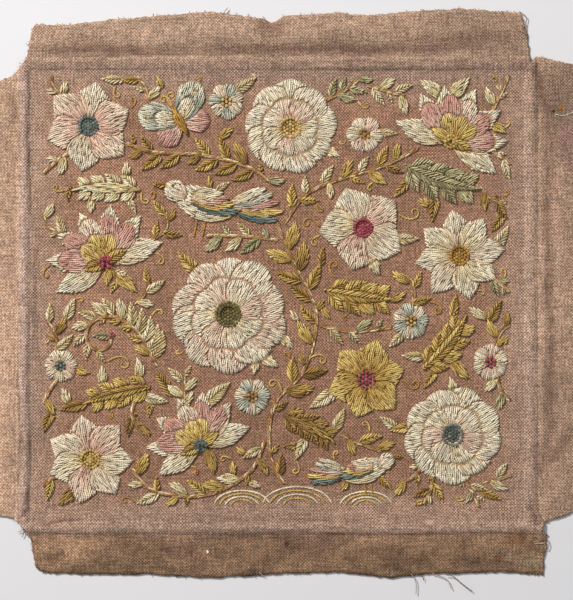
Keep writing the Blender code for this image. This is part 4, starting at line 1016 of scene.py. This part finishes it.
def fine_stations(low, high, inner_low, inner_high):
    """Grid lines across the sheet, closest at the ridges."""
    marks = [low]
    while marks[-1] < high - 0.5 * RIDGE_STEP:
        here = marks[-1]
        near_ridge = min(abs(here - inner_low + CREST), abs(here - inner_high - CREST)) < RIDGE_REACH
        marks.append(here + (RIDGE_STEP if near_ridge or high - here < 1.5 else FINE_STEP))
    marks[-1] = high
    for spot in (inner_low - CREST, inner_high + CREST):
        k = min(range(len(marks)), key=lambda j: abs(marks[j] - spot))
        marks[k] = spot
    return marks


def tone_of(u, v, ridge, deep):
    """The sheet's colour and weave share at a place: they change softly across each crease."""
    inner = min(u - FIELD_WEST, FIELD_EAST - u, v - FIELD_SOUTH, FIELD_NORTH - v) / BORDER_WIDE
    field = TONES["border"] + (TONES["field"] - TONES["border"]) * min(1.0, max(0.0, inner)) ** 0.8
    away = {"west": FIELD_WEST - 3 - u, "east": u - FIELD_EAST - 3, "south": FIELD_SOUTH - 4 - v,
            "north": v - FIELD_NORTH - 4}
    mottled, woven = MOTTLED["field"], WEAVE_SHARES["field"]
    for side, far in away.items():
        share = min(1.0, max(0.0, far / TURN_SOFT))
        field = field + (TURN_TONES[side] - field) * share
        mottled += (MOTTLED[side] - mottled) * share
        woven += (WEAVE_SHARES[side] - woven) * share
    field = field * (1 + mottled * noise.fractal(Vector((u / 11, v / 7, 0.4)), 0.6, 2.1, 4))
    # The ridge's crest is painted towards its own tone: partly wear, partly painted highlight and shade.
    wear_and_light = WORN_AND_LIT_SHARE * min(1.0, ridge / RIDGE_HIGH) ** 2
    wear_and_light *= 0.8 + 0.6 * noise.noise(Vector((u / 21, v / 21, 2.0)))
    side = max(away, key=lambda name: away[name])
    field = field + (RIDGE_WEAR_AND_LIGHT_TONES[side] - field) * wear_and_light
    for soft_patch in STAINS_AND_PAINTED_LIGHT:
        near = math.exp(-((u - soft_patch.x) / soft_patch.wide) ** 2 - ((v - soft_patch.y) / soft_patch.high) ** 2)
        field = field * (1 + (soft_patch.keep**SHOWN_POWER - 1) * near)
    # A crease's bottom is painted darker: painted shade.
    return (*(field + (TONES["crease"] - field) * CREASE_SHADE_SHARE * deep), woven)


def settled(u, v):
    """The share of its height that a place keeps: less at the side cuts and on the north ridge."""
    if FIELD_NORTH < v < FIELD_NORTH + 2 * CREST:
        return 1 - NORTH_SINK * math.sin(math.pi * (v - FIELD_NORTH) / (2 * CREST))
    if v > FIELD_NORTH + 2 * CREST or v < FIELD_SOUTH - 2 * CREST:
        near = min(u - FIELD_WEST + CREST, FIELD_EAST + CREST - u)
    elif u > FIELD_EAST + 2 * CREST or u < FIELD_WEST - 2 * CREST:
        near = min(v - FIELD_SOUTH + CREST, FIELD_NORTH + CREST - v)
    else:
        return 1.0
    return SIDE_KEEP + (1 - SIDE_KEEP) * min(1.0, max(0.0, near / SIDE_REACH))


def cross_grid():
    """The squared-up pattern of the sheet: a grid without its four corners."""
    across = fine_stations(-HALF_WIDE, HALF_WIDE, FIELD_WEST, FIELD_EAST)
    up = fine_stations(-HALF_HIGH, HALF_HIGH, FIELD_SOUTH, FIELD_NORTH)
    wide, high = len(across) - 1, len(up) - 1
    bm = bmesh.new()
    bmesh.ops.create_grid(bm, x_segments=wide, y_segments=high, size=1)
    for vert in bm.verts:
        u = across[round((vert.co.x + 1) / 2 * wide)]
        v = up[round((vert.co.y + 1) / 2 * high)]
        vert.co = Vector((u, v, 0))
    reach = CREST + 0.1
    outside = [vert for vert in bm.verts
               if (vert.co.x < FIELD_WEST - reach or vert.co.x > FIELD_EAST + reach)
               and (vert.co.y < FIELD_SOUTH - reach or vert.co.y > FIELD_NORTH + reach)]
    bmesh.ops.delete(bm, geom=outside, context="VERTS")
    return bm


def linen_sheet(material):
    """One cross-shaped sheet, as thin cloth that lies in its solid's folds, and the places of its edge."""
    bm = cross_grid()
    rng = random.Random(SEED + 1)
    colours = []
    rim = []
    for vert in bm.verts:
        u, v = vert.co.x, vert.co.y
        x, y, z = cloth_place(u, v)
        z *= settled(u, v)
        rise, deep = creased(x, y)
        if vert.is_boundary:
            x += rng.uniform(-RAGGED, RAGGED)
            y += rng.uniform(-RAGGED, RAGGED)
            rim.append((x, y, z))
        else:
            z = max(0.0, z + swell(x, y) + rise)
        vert.co = Vector((x, y, z)) * MM
        colours.append(tone_of(u, v, float(ridge_height(u, v)), deep))
    bm.normal_update()
    for face in bm.faces:
        face.smooth = True
    mesh = bpy.data.meshes.new("linen_sheet")
    bm.to_mesh(mesh)
    bm.free()
    paint(mesh, "tone", np.array(colours))
    sheet = finish_piece("linen_sheet", mesh, material, "ground_cloth")
    wall = sheet.modifiers.new("cloth_thickness", "SOLIDIFY")
    wall.thickness = SHEET_THICK * MM
    wall.offset = 1
    return sheet, rim


# Stitches. Heights are millimetres above the table: the linen's top, the padding and each layer.

LINEN_TOP = SHEET_THICK
PAD_FOOT, PAD_EDGE, PAD_HIGH, LAYER = 0.8, 0.15, 0.95, 0.3
# The padding is painted darker than its wool by these shares: painted shade in the gaps between the stitches.
PAD_PAINTED_SHADE = np.array([0.6, 0.48, 0.4])
STRAND_WIDE, STRAND_HIGH, STRAND_PITCH = 1.08, 0.8, 1.12
ROW_PITCH, ROW_OVERLAP = 4.2, 2.6
# How far a stitch stands over the padding, arches in its middle and dips at its ends.
STRAND_LIFT, ARCH, DIP = 0.12, 0.12, 0.2
# A leaf's stitches slant this much from its rib, and are about this long.
SLANT, SLANT_LONG = math.radians(30), 4.8
# The places worked out along each stitch, and the share of a patch's half width that stitches fill.
SAMPLES, EDGE_SHARE = 9, 0.97

# Each wool's shades, from the foot of a petal or the rib of a leaf to its edge.
Shades = namedtuple("Shades", "foot middle edge")
WOOLS = {
    "cream": Shades("CDB07A", "EEDDB8", "F6EACE"), "ivory": Shades("CFAB88", "EDDCBC", "F5E8CE"),
    "blush": Shades("CC9684", "ECCCB0", "F2E0C4"), "rose": Shades("E6CAAE", "E4BEA8", "D29688"),
    "gold": Shades("9E7630", "D0AA5A", "EACE80"), "pale_blue": Shades("7C867A", "B8B8A2", "E6DEC4"),
    "gold_leaf": Shades("94702E", "CAA454", "EACE7C"), "sage_leaf": Shades("7E7850", "B4AA7C", "E2D4A4"),
    "olive_leaf": Shades("7C5C2A", "A8803E", "D2AE60"), "cream_leaf": Shades("BC9E5C", "E6D4A0", "F6E8C6"),
    "teal": Shades("46534F", "64746C", "8E9A8E"), "crimson": Shades("8E3440", "AC4450", "C66A72"),
    "ochre": Shades("8E6420", "B68634", "CFA34E"), "olive": Shades("524A26", "766A32", "90823E"),
    "rust": Shades("7A4C26", "9C6838", "B8885A"), "tan": Shades("94704A", "B8936A", "D6B890"),
}
# The petals of one bloom are worked in turn from these wools, and the small leaves at random from these.
PETAL_MIX = {
    "blush": ("blush", "ivory", "blush"), "cream": ("cream", "ivory", "cream"),
    "ivory": ("ivory", "cream", "blush"), "rose": ("rose", "rose", "blush"),
    "pale_blue": ("pale_blue", "ivory"),
}
LEAF_MIX = {
    "gold_leaf": ("gold_leaf", "gold_leaf", "olive_leaf", "cream_leaf"),
    "olive_leaf": ("olive_leaf", "gold_leaf", "olive_leaf"),
    "sage_leaf": ("sage_leaf", "cream_leaf", "sage_leaf"),
}
# Each wool's shades as linear colours.
TINTS = {name: np.array([linear(shade) for shade in shades]) for name, shades in WOOLS.items()}

# How far wool lots differ from one stitch to the next.
LOT_SPREAD = 0.27
# How far a stitch may veer from its lane, in lanes.
WANDER = 1.1


def shade_of(wool, share):
    """The wool's colour at a share of the way from foot to edge, for each of many shares."""
    foot, middle, edge = TINTS[wool]
    share = np.clip(np.asarray(share, float), 0, 1)[..., None]
    low = foot + (middle - foot) * np.clip(share * 2, 0, 1)
    return low + (edge - middle) * np.clip(share * 2 - 1, 0, 1)


def padding(patch, across, along):
    """How high the padding stands at a place of a patch: a crown that falls to the linen all round."""
    side = np.sqrt(np.clip(1 - np.abs(across) ** 2.4, 0, 1))
    room = np.minimum(along, 1 - along) * patch.length
    ends = np.sqrt(np.clip(room / 2.6, 0, 1))
    crown = PAD_HIGH * min(1.0, 0.55 + patch.width / 22)
    return LINEN_TOP + PAD_EDGE + crown * side * ends + LAYER * patch.level


def offset_at(patch, out, along):
    """The share across a patch of a place that lies out mm from its centre line."""
    return out / np.maximum(patch.half_width(along), 0.05)


# One stitch: its two ends and its middle, its width and the colours of its two ends.
Strand = namedtuple("Strand", "start middle end wide first last")

# The shortest stitch worth laying in a petal and in a leaf, and how near an edge a stitch runs on to it.
SHORT_PETAL, SHORT_LEAF, EDGE_NEAR = 1.6, 1.1, 1.2


def long_and_short(patch, rng):
    """Rows of stitches that fan out from the foot of a petal and end at its edge."""
    belly = patch.form.belly
    outs, alongs, shares = [], [], []
    rows = max(1, round(patch.length / ROW_PITCH))
    scan = np.linspace(belly, 0.995, 40)
    scan_wide = patch.half_width(scan) * EDGE_SHARE
    for row in range(rows):
        low, high = row / rows, (row + 1) / rows
        broad = float(patch.half_width(min(0.5 * (low + high), belly)))
        lanes = max(2, round(2 * broad / STRAND_PITCH))
        for lane in range(lanes):
            across = EDGE_SHARE * (-1 + (2 * lane + 1 + rng.uniform(-0.25, 0.25)) / lanes)
            reach = abs(across) * patch.half_width(belly)
            end = float(scan[np.nonzero(scan_wide >= reach)[0][-1]]) if (scan_wide >= reach).any() else belly
            back = ROW_OVERLAP / patch.length * rng.uniform(0.2, 1.6)
            ahead = ROW_OVERLAP / patch.length * rng.uniform(-0.6, 0.9)
            start = max(0.0, low - back) if row else rng.uniform(0, 0.02)
            stop = min(end, high + ahead) if row < rows - 1 else end
            if row < rows - 1 and end - stop < EDGE_NEAR / patch.length:
                stop = end
            if stop - start < SHORT_PETAL / patch.length:
                continue
            along = np.linspace(start, stop, SAMPLES)
            veer = rng.uniform(-WANDER, WANDER) / lanes * np.linspace(-1, 1, SAMPLES)
            out = np.clip(across + veer, -EDGE_SHARE, EDGE_SHARE) * patch.half_width(np.minimum(along, belly))
            outs.append(offset_at(patch, out, along))
            alongs.append(along)
            mixed = rng.uniform(-0.45, 0.3) if rng.random() < 0.2 else rng.uniform(-0.12, 0.12)
            shares.append(0.08 + 1.05 * along + mixed)
    return outs, alongs, shares


def slanted(patch, rng):
    """Stitches that slant forward from a leaf's midrib to its edge on both sides."""
    outs, alongs, shares = [], [], []
    pitch = STRAND_PITCH / math.sin(SLANT) / patch.length
    rise = 1 / (patch.length * math.tan(SLANT))
    widest = 0.5 * patch.width
    lean = rng.uniform(-0.22, 0.26)
    for side in (-1, 1):
        plain, t = rise, -widest * rise
        while t < 0.97:
            t += pitch * rng.uniform(0.82, 1.18)
            rise = plain * rng.uniform(0.88, 1.14)
            out = np.linspace(0.12, widest, 40)
            along = t + out * rise
            good = np.nonzero((along >= 0.0) & (along <= 0.985)
                              & (out <= EDGE_SHARE * patch.half_width(along)))[0]
            if len(good) < 4:
                continue
            first, last = out[good[0]], out[good[-1]]
            length = (last - first) / math.sin(SLANT)
            if length < SHORT_LEAF:
                continue
            parts = max(1, round(length / SLANT_LONG))
            breaks = []
            for k in range(parts + 1):
                share = (k + rng.uniform(-0.25, 0.25) * (0 < k < parts)) / parts
                breaks.append(first + (last - first) * min(1, max(0, share)))
            for here, ahead in zip(breaks, breaks[1:]):
                stretch = np.linspace(max(first, here - 0.5 * (here > first)), ahead, SAMPLES)
                run = t + stretch * rise
                outs.append(side * offset_at(patch, stretch, run))
                alongs.append(run)
                lit = (0.58 if side > 0 else 0.16) + 0.5 * stretch / max(1.0, widest)
                shares.append(lit + lean + rng.uniform(-0.16, 0.16))
    tip = np.linspace(0.84, 0.998, SAMPLES)
    outs.append(np.zeros(SAMPLES))
    alongs.append(tip)
    shares.append(np.full(SAMPLES, 0.6))
    return outs, alongs, shares


# This share of the leaves is filled lengthwise, and the others with slanting stitches.
FREE_LEAVES = 0.4


def covered(x, y, later):
    """Which places a later patch lies over."""
    hidden = np.zeros(x.shape, bool)
    for patch in later:
        hidden |= patch.inside(x, y, -0.15)
    return hidden


def longest_run(free):
    """The first and last of the longest run of free samples."""
    best, start = (0, -1), 0
    for k, good in enumerate([*free, False]):
        if not good:
            if k - start > best[1] - best[0] + 1:
                best = (start, k - 1)
            start = k + 1
    return best


def work_patch(strands, patch, later, rng):
    """Fill one patch with stitches, each cut short where a later patch lies over it."""
    is_leaf = patch.form is FORMS["leaf"]
    style = slanted if is_leaf and rng.random() >= FREE_LEAVES else long_and_short
    outs, alongs, shares = style(patch, rng)
    if not outs:
        return
    across, along = np.array(outs), np.array(alongs)
    x, y = patch.at(across, along)
    z = padding(patch, across, along) + STRAND_LIFT
    shares = np.array(shares)
    hidden = covered(x, y, later)
    for k in range(len(x)):
        a, b = longest_run(~hidden[k])
        if b - a < 2:
            continue
        m = (a + b) // 2
        lot = 1 + rng.uniform(-LOT_SPREAD, LOT_SPREAD)
        first, last = shade_of(patch.wool, shares[k, [a, b]]) * lot
        ends = [(x[k, spot], y[k, spot], z[k, spot] - DIP) for spot in (a, b)]
        middle = (x[k, m], y[k, m], z[k, m] + ARCH)
        wide = STRAND_WIDE * rng.uniform(0.9, 1.08)
        strands.append(Strand(ends[0], middle, ends[1], wide, first, last))


# Stem stitches start this far apart, and each is this long.
STEM_PITCH, STEM_REACH = 2.1, 4.2


def work_row(strands, path, row, wools, rng):
    """Stem stitch: each stitch starts beside the middle of the last and leans a little across the line."""
    walk, turn = walked(path), np.unwrap(np.radians(headings(path)))
    spot = -0.3 * STEM_PITCH
    while spot < walk[-1] - 0.35 * STEM_REACH:
        places = []
        for share in (0, 0.5, 1):
            s = min(walk[-1], max(0.0, spot + share * STEM_REACH))
            heading = float(np.interp(s, walk, turn))
            out = row.offset + row.lean * (2 * share - 1)
            places.append((float(np.interp(s, walk, path[:, 0])) - out * math.sin(heading),
                           float(np.interp(s, walk, path[:, 1])) + out * math.cos(heading),
                           LINEN_TOP + row.high - DIP * abs(2 * share - 1)))
        lot = 1 + rng.uniform(-LOT_SPREAD, LOT_SPREAD)
        tone = 0.5 + rng.uniform(-0.25, 0.25)
        first, last = shade_of(rng.choice(wools), [tone, tone + 0.1]) * lot
        strands.append(Strand(*places, row.wide * rng.uniform(0.92, 1.05), first, last))
        spot += STEM_PITCH * rng.uniform(0.92, 1.08)


# The rows of stem stitch that make each style of line: how far beside the line, how wide and how high each
# stitch is, how much it leans, and its wools, which are the line's own where none are named.
Row = namedtuple("Row", "offset wide high lean wools", defaults=(None,))
LINE_STYLES = {
    "stem": (Row(0.42, 1.2, 0.42, 0.5, ("rust", "tan", "rust", "olive_leaf")),
             Row(-0.46, 1.1, 0.42, 0.5, ("tan", "rust", "tan", "cream_leaf"))),
    "tendril": (Row(0.0, 1.1, 0.3, 0.22),),
    "hill": (Row(0.0, 0.95, 0.2, 0.34),),
}


def work_line(strands, line, rng):
    """Every row of one line, unless the line is too short to work."""
    for row in LINE_STYLES[line.style]:
        if len(line.path) > 3:
            work_row(strands, line.path, row, row.wools or (line.wool,), rng)


def strand_template():
    """A short rounded strand along X with its ends drawn in, as place, side and height of each vertex."""
    bm = bmesh.new()
    bmesh.ops.create_uvsphere(bm, u_segments=6, v_segments=5, radius=1.0)
    shape = [(vert.co.z, vert.co.x, vert.co.y) for vert in bm.verts]
    faces = [[vert.index for vert in face.verts] for face in bm.faces]
    bm.free()
    shape = np.array(shape)
    along = np.clip(shape[:, 0], -1, 1)
    spread = np.sign(along) * np.abs(along) ** 0.72
    return spread, shape[:, 1], shape[:, 2], faces


def knot_template():
    """A wound French knot: a low ball with a dimple at its top."""
    bm = bmesh.new()
    bmesh.ops.create_uvsphere(bm, u_segments=8, v_segments=6, radius=1.0)
    for vert in bm.verts:
        if vert.co.z > 0.99:
            vert.co.z = 0.5
    shape = np.array([vert.co[:] for vert in bm.verts])
    faces = [[vert.index for vert in face.verts] for face in bm.faces]
    bm.free()
    return shape, faces


def all_copies(faces, count, size):
    """The template's faces for each of count copies in one joined mesh, as flat lists."""
    corners = np.concatenate([np.array(face) for face in faces])
    sizes = np.array([len(face) for face in faces])
    loops = (corners[None, :] + size * np.arange(count)[:, None]).ravel()
    return loops, np.tile(sizes, count)


def joined_mesh(name, places, colours, uvs, loops, sizes):
    """One mesh from the copies' vertices and faces, with its dye and its strand map."""
    mesh = bpy.data.meshes.new(name)
    mesh.vertices.add(len(places))
    mesh.vertices.foreach_set("co", (places * MM).astype(np.float32).ravel())
    mesh.loops.add(len(loops))
    mesh.loops.foreach_set("vertex_index", loops.astype(np.int32))
    mesh.polygons.add(len(sizes))
    starts = np.concatenate([[0], np.cumsum(sizes)[:-1]])
    mesh.polygons.foreach_set("loop_start", starts.astype(np.int32))
    mesh.polygons.foreach_set("use_smooth", np.ones(len(sizes), bool))
    mesh.update(calc_edges=True)
    paint(mesh, "dye", colours)
    layer = mesh.uv_layers.new(name="strand")
    layer.data.foreach_set("uv", uvs[loops].astype(np.float32).ravel())
    return mesh


STRAND = strand_template()
KNOT = knot_template()


def laid_strands(strands):
    """Vertices, colours, strand places and faces of all the stitches of a piece."""
    spread, side, lift, faces = STRAND
    start, middle, end, wide, first, last = (np.array(rows, float)[:, None] for rows in zip(*strands))
    s = spread[None, :, None]
    place = start * s * (s - 1) / 2 + middle * (1 - s**2) + end * s * (s + 1) / 2
    run = start * (s - 0.5) - 2 * s * middle + end * (s + 0.5)
    level = np.hypot(run[..., 0], run[..., 1]) + 1e-6
    aside = np.stack([-run[..., 1] / level, run[..., 0] / level], -1)
    place[..., :2] += aside * (0.5 * wide * side[None])[..., None]
    place[..., 2] += 0.5 * wide * STRAND_HIGH / STRAND_WIDE * lift[None] * 1.05
    length = np.linalg.norm(end - start, axis=2)
    blend = (0.5 * (spread + 1))[None, :, None]
    colour = first * (1 - blend) + last * blend
    # Painted shade: the strand's underside and sides, which lie in its neighbours' shade, are painted darker,
    # and its ends are kept lighter.
    lit = np.maximum(np.clip(lift + 0.22, 0, 1), 0.75 * np.abs(spread) ** 12)
    colour = colour * (0.32 + 0.68 * lit)[None, :, None]
    uv = np.stack([0.5 * (spread + 1)[None] * length, np.broadcast_to(side[None], place.shape[:2])], -1)
    loops, sizes = all_copies(faces, len(start), len(spread))
    return place.reshape(-1, 3), colour.reshape(-1, 3), uv.reshape(-1, 2), loops, sizes


def laid_knots(knots, high, rng):
    """Vertices, colours, strand places and faces of all the French knots of a piece."""
    shape, faces = KNOT
    centres = np.array([(knot.x, knot.y, high(knot)) for knot in knots])
    radius = np.array([rng.uniform(0.85, 1.05) for _ in knots])[:, None, None]
    scaled = shape[None] * np.array([1.0, 1.0, 0.72]) * radius
    place = centres[:, None] + scaled
    shades = []
    for knot in knots:
        shades.append(shade_of(knot.wool, 0.5 + rng.uniform(-0.35, 0.35)) * (1 + rng.uniform(-0.1, 0.1)))
    # Painted shade: each knot is painted darker towards its underside.
    colour = np.array(shades)[:, None] * (0.62 + 0.38 * np.clip(shape[None, :, 2:3] + 0.4, 0, 1))
    uv = np.stack([np.broadcast_to(np.arctan2(shape[:, 1], shape[:, 0])[None], place.shape[:2]),
                   np.broadcast_to(shape[None, :, 2], place.shape[:2])], -1)
    loops, sizes = all_copies(faces, len(centres), len(shape))
    return place.reshape(-1, 3), colour.reshape(-1, 3), uv.reshape(-1, 2), loops, sizes


# The padding's grid.
PAD_ACROSS, PAD_ROWS = 4, 7
# The padding's share of a patch's width, where along the patch it lies, and how far it stays under the wool.
PAD_WIDE, PAD_START, PAD_LONG, PAD_DROP = 0.9, 0.015, 0.965, 0.22


def add_padding(bm, layer, patch):
    """A low closed body under a patch's stitches, so that no linen shows between them, its colour painted
    darker than the wool as the painted shade in the gaps.
    """
    made = bmesh.ops.create_grid(bm, x_segments=PAD_ACROSS, y_segments=PAD_ROWS, size=1)["verts"]
    shade = (*(shade_of(patch.wool, 0.3) * PAD_PAINTED_SHADE), 1.0)
    grid = np.array([(vert.co.x, (vert.co.y + 1) / 2) for vert in made])
    across, along = grid[:, 0] * PAD_WIDE, PAD_START + PAD_LONG * grid[:, 1]
    x, y = patch.at(across, along)
    z = np.maximum(PAD_FOOT + 0.12, padding(patch, across, along) - PAD_DROP)
    for k, vert in enumerate(made):
        vert.co = Vector((x[k], y[k], z[k])) * MM
        vert[layer] = shade
    faces = {face for vert in made for face in vert.link_faces}
    rim = [edge for face in faces for edge in face.edges if edge.is_boundary]
    skirt = bmesh.ops.extrude_edge_only(bm, edges=list(set(rim)))["geom"]
    for vert in skirt:
        if isinstance(vert, bmesh.types.BMVert):
            vert.co.z = PAD_FOOT * MM
            vert[layer] = shade
    loop = [edge for edge in skirt if isinstance(edge, bmesh.types.BMEdge) and edge.is_boundary]
    bmesh.ops.contextual_create(bm, geom=loop)


def knot_height(work):
    """The height of a knot's middle: on the petals it sits on, or else on the linen."""
    def high(knot):
        best = LINEN_TOP + 0.45
        for patch in work.patches:
            if bool(patch.inside(knot.x, knot.y)):
                best = max(best, LINEN_TOP + PAD_EDGE + PAD_HIGH * 0.8 + LAYER * patch.level + 0.4)
        return best
    return high


def mix_wools(work, order, rng):
    """Vary the wools of a bloom's petals in turn, and those of small leaves at random."""
    for k, patch in enumerate(order):
        if not patch.core:
            patch.wool = rng.choice(LEAF_MIX.get(patch.wool, (patch.wool,)))
        elif work.kind in ("double", "open", "daisy", "fan"):
            mix = PETAL_MIX.get(patch.wool, (patch.wool,))
            patch.wool = mix[k % len(mix)]


def pad_under(mesh, order):
    """Add the padding of all the patches to the mesh of their stitches."""
    bm = bmesh.new()
    layer = bm.verts.layers.float_color.new("dye")
    bm.loops.layers.uv.new("strand")
    for patch in order:
        add_padding(bm, layer, patch)
    bmesh.ops.recalc_face_normals(bm, faces=bm.faces)
    for face in bm.faces:
        face.smooth = True
    bm.from_mesh(mesh)
    bm.to_mesh(mesh)
    bm.free()


def worked_piece(work, material):
    """All the wool of one work, as one piece: padding, stitches, stems, tendrils and knots."""
    rng = random.Random(work.name)
    strands = []
    order = sorted(work.patches, key=lambda patch: patch.level)
    for line in work.lines:
        work_line(strands, line, rng)
    mix_wools(work, order, rng)
    for k, patch in enumerate(order):
        work_patch(strands, patch, order[k + 1:], rng)
    parts = [laid_strands(strands)]
    if work.knots:
        parts.append(laid_knots(work.knots, knot_height(work), rng))
    first = np.cumsum([0] + [len(part[0]) for part in parts])
    places, colours, uvs = (np.vstack([part[k] for part in parts]) for k in range(3))
    loops = np.concatenate([part[3] + start for part, start in zip(parts, first)])
    sizes = np.concatenate([part[4] for part in parts])
    mesh = joined_mesh(work.name + "_stitches", places, colours, uvs, loops, sizes)
    pad_under(mesh, order)
    node = None if work.kind == "lines" else work.name
    return finish_piece(work.name + "_stitches", mesh, material, node)


# Frayed threads at the cut edges, and the longer ones that have worked loose.

FRAY_WIDE, LOOSE_WIDE = 0.34, 0.55
FRAY_TONES = ("8A6B58", "A5836C", "7A5A48", "B99C83")
# Beyond TURN_X and TURN_Y an edge belongs to a turn-under, and between MIDDLE_X on both sides the hairs of
# the north and south edges point straight out.
TURN_X, TURN_Y, MIDDLE_X = 152.0, 138.0, 138.0
# The loose threads' tones, where the thread itself has none: darker off the south edge.
SOUTH_TONES, OTHER_TONES, SOUTH_Y = ("6E4334", "8A5E48", "B59A82"), ("B59A82", "9A7562"), -160.0
Loose = namedtuple("Loose", "points tone", defaults=(None,))
LOOSE = (
    Loose(((88, -162), (92, -163.5), (97, -166), (99.5, -172))),
    Loose(((96.2, -163), (100, -163.6), (104, -167), (108.5, -170.5), (112.4, -173.2))),
    Loose(((76, -162.6), (78.4, -166), (79, -171), (78.6, -175))),
    Loose(((81.5, -162.8), (83, -164.5), (83.2, -166.3))),
    Loose(((-12, -161.4), (-10.6, -163), (-9, -163.8))),
    Loose(((134, -142.8), (143, -143.4), (152, -144.5), (154, -146), (153.4, -149))),
    Loose(((150, -143.4), (154.6, -142.2), (156, -145.4), (154.8, -148.4), (151.6, -147.8))),
    Loose(((128, 163.5), (131, 158), (137, 153.6), (144, 149.6))),
    Loose(((140, 160), (141.6, 156), (140.4, 152.2))),
    Loose(((138.6, 163.3), (142.8, 160), (142.2, 155), (142.4, 150.4))),
    Loose(((-33, 162), (-31, 164.6), (-29.6, 166.6))),
    Loose(((-151.5, -130.5), (-149, -134.5), (-148.4, -139), (-150, -142))),
    Loose(((-146.5, -134), (-149.4, -137.4), (-153, -138.6))),
    Loose(((-147.6, -139), (-144, -142.6), (-144.4, -147))),
    Loose(((159.6, 103.8), (162, 103.2), (165, 103.2), (168, 104.2), (171, 105.4), (174, 106)), "E6DCCC"),
    Loose(((134, -147.8), (139, -147), (144, -145.4), (149, -144.8), (152.6, -144.9)), "CDB9A2"),
)


def fray_strand(strands, start, turn, length, tone, rng):
    """One short curved hair of linen thread from an edge."""
    bow = rng.uniform(-0.35, 0.35) * length
    c, s = math.cos(turn), math.sin(turn)
    x, y, z = start
    middle = (x + 0.5 * length * c - bow * s, y + 0.5 * length * s + bow * c, z + rng.uniform(0.0, 0.35))
    end = (x + length * c, y + length * s, max(0.15, z + rng.uniform(-0.3, 0.5)))
    strands.append(Strand((x, y, z), middle, end, FRAY_WIDE * rng.uniform(0.7, 1.2), tone, tone))


def frayed_threads(material, rim):
    """All the hairs along the cut edges and the loose threads, as one piece that lies with the sheet."""
    rng = random.Random(SEED + 2)
    strands = []
    for x, y, z in rim:
        outward = math.atan2(y if abs(y) > TURN_Y else 0.35 * y, x if abs(x) > TURN_X else 0.35 * x)
        if abs(y) > TURN_Y and abs(x) < MIDDLE_X:
            outward = math.copysign(math.pi / 2, y)
        tone = np.array(linear(rng.choice(FRAY_TONES)))
        for _ in range(rng.choice((0, 0, 0, 1, 1))):
            turn = outward + rng.gauss(0, 1.0)
            fray_strand(strands, (x, y, z + SHEET_THICK / 2), turn, rng.uniform(0.6, 1.7), tone, rng)
    for loose in LOOSE:
        path = smooth_path(loose.points, 1.0)
        choice = SOUTH_TONES if path[0, 1] < SOUTH_Y else OTHER_TONES
        tone = np.array(linear(loose.tone or rng.choice(choice)))
        for a, b in zip(path[:-1:2], path[2::2]):
            high = SHEET_THICK + 0.5 + 0.25 * math.sin(0.6 * a[0])
            overlap = (b - a) * 0.12
            strands.append(Strand((*(a - overlap), high), (*(a + b) / 2, high), (*(b + overlap), high),
                                  LOOSE_WIDE, tone, tone))
    places, colours, uvs, loops, sizes = laid_strands(strands)
    mesh = joined_mesh("frayed_threads", places, colours, uvs, loops, sizes)
    return finish_piece("frayed_threads", mesh, material)


# The camera straight above, the pale floor and the light from the north-west.

VIEW_HIGH = 1200.0
VIEW_MIDDLE = (3.77, -3.77)
VIEW_LONG = 348.0
SENSOR = 36.0
# The floor's half width and the lights' places are in metres.
FLOOR_REACH = 5.0
Light = namedtuple("Light", "name place size power colour")
LIGHTS = (Light("window", (-1.3, 1.5, 1.45), 0.5, 74.0, "FFFDFA"),
          Light("fill", (1.2, -0.6, 1.9), 1.8, 3.0, "F4F6FA"))
ROOM_COLOUR, ROOM_STRENGTH = "F2F3F5", 0.33


def set_camera():
    """A long lens straight above the panel, whose picture is VIEW_LONG high."""
    camera = bpy.data.cameras.new("camera_above")
    camera.sensor_width = SENSOR
    camera.lens = SENSOR * VIEW_HIGH / VIEW_LONG
    holder = bpy.data.objects.new("camera_above", camera)
    holder.location = Vector((*VIEW_MIDDLE, VIEW_HIGH)) * MM
    bpy.context.scene.collection.objects.link(holder)
    bpy.context.scene.camera = holder


def set_floor():
    """The wide plain sheet of paper under the panel."""
    bm = bmesh.new()
    bmesh.ops.create_grid(bm, x_segments=1, y_segments=1, size=FLOOR_REACH)
    mesh = bpy.data.meshes.new("floor")
    bm.to_mesh(mesh)
    bm.free()
    floor = bpy.data.objects.new("floor", mesh)
    floor.data.materials.append(floor_material())
    bpy.context.scene.collection.objects.link(floor)


def add_light(light):
    """A soft square light that faces the panel's middle."""
    lamp = bpy.data.lights.new(light.name, "AREA")
    lamp.shape = "SQUARE"
    lamp.size = light.size
    lamp.energy = light.power
    lamp.color = linear(light.colour)
    holder = bpy.data.objects.new(light.name, lamp)
    holder.location = light.place
    holder.rotation_euler = (-Vector(light.place)).to_track_quat("-Z", "Y").to_euler()
    bpy.context.scene.collection.objects.link(holder)


def set_light():
    """The window's light, a weak fill from the other side, and the room's own pale light."""
    for light in LIGHTS:
        add_light(light)
    world = bpy.data.worlds.new("room")
    world.use_nodes = True
    sky = world.node_tree.nodes["Background"]
    sky.inputs["Color"].default_value = (*linear(ROOM_COLOUR), 1)
    sky.inputs["Strength"].default_value = ROOM_STRENGTH
    bpy.context.scene.world = world
    bpy.context.scene.view_settings.view_transform = "Standard"


def build():
    """The whole scene: camera, floor, light, sheet, frayed threads and every worked piece."""
    set_camera()
    set_floor()
    set_light()
    linen, wool = linen_material(), wool_material()
    sheet, rim = linen_sheet(linen)
    frays = frayed_threads(thread_material(), rim)
    for work in layout():
        worked_piece(work, wool)


build()
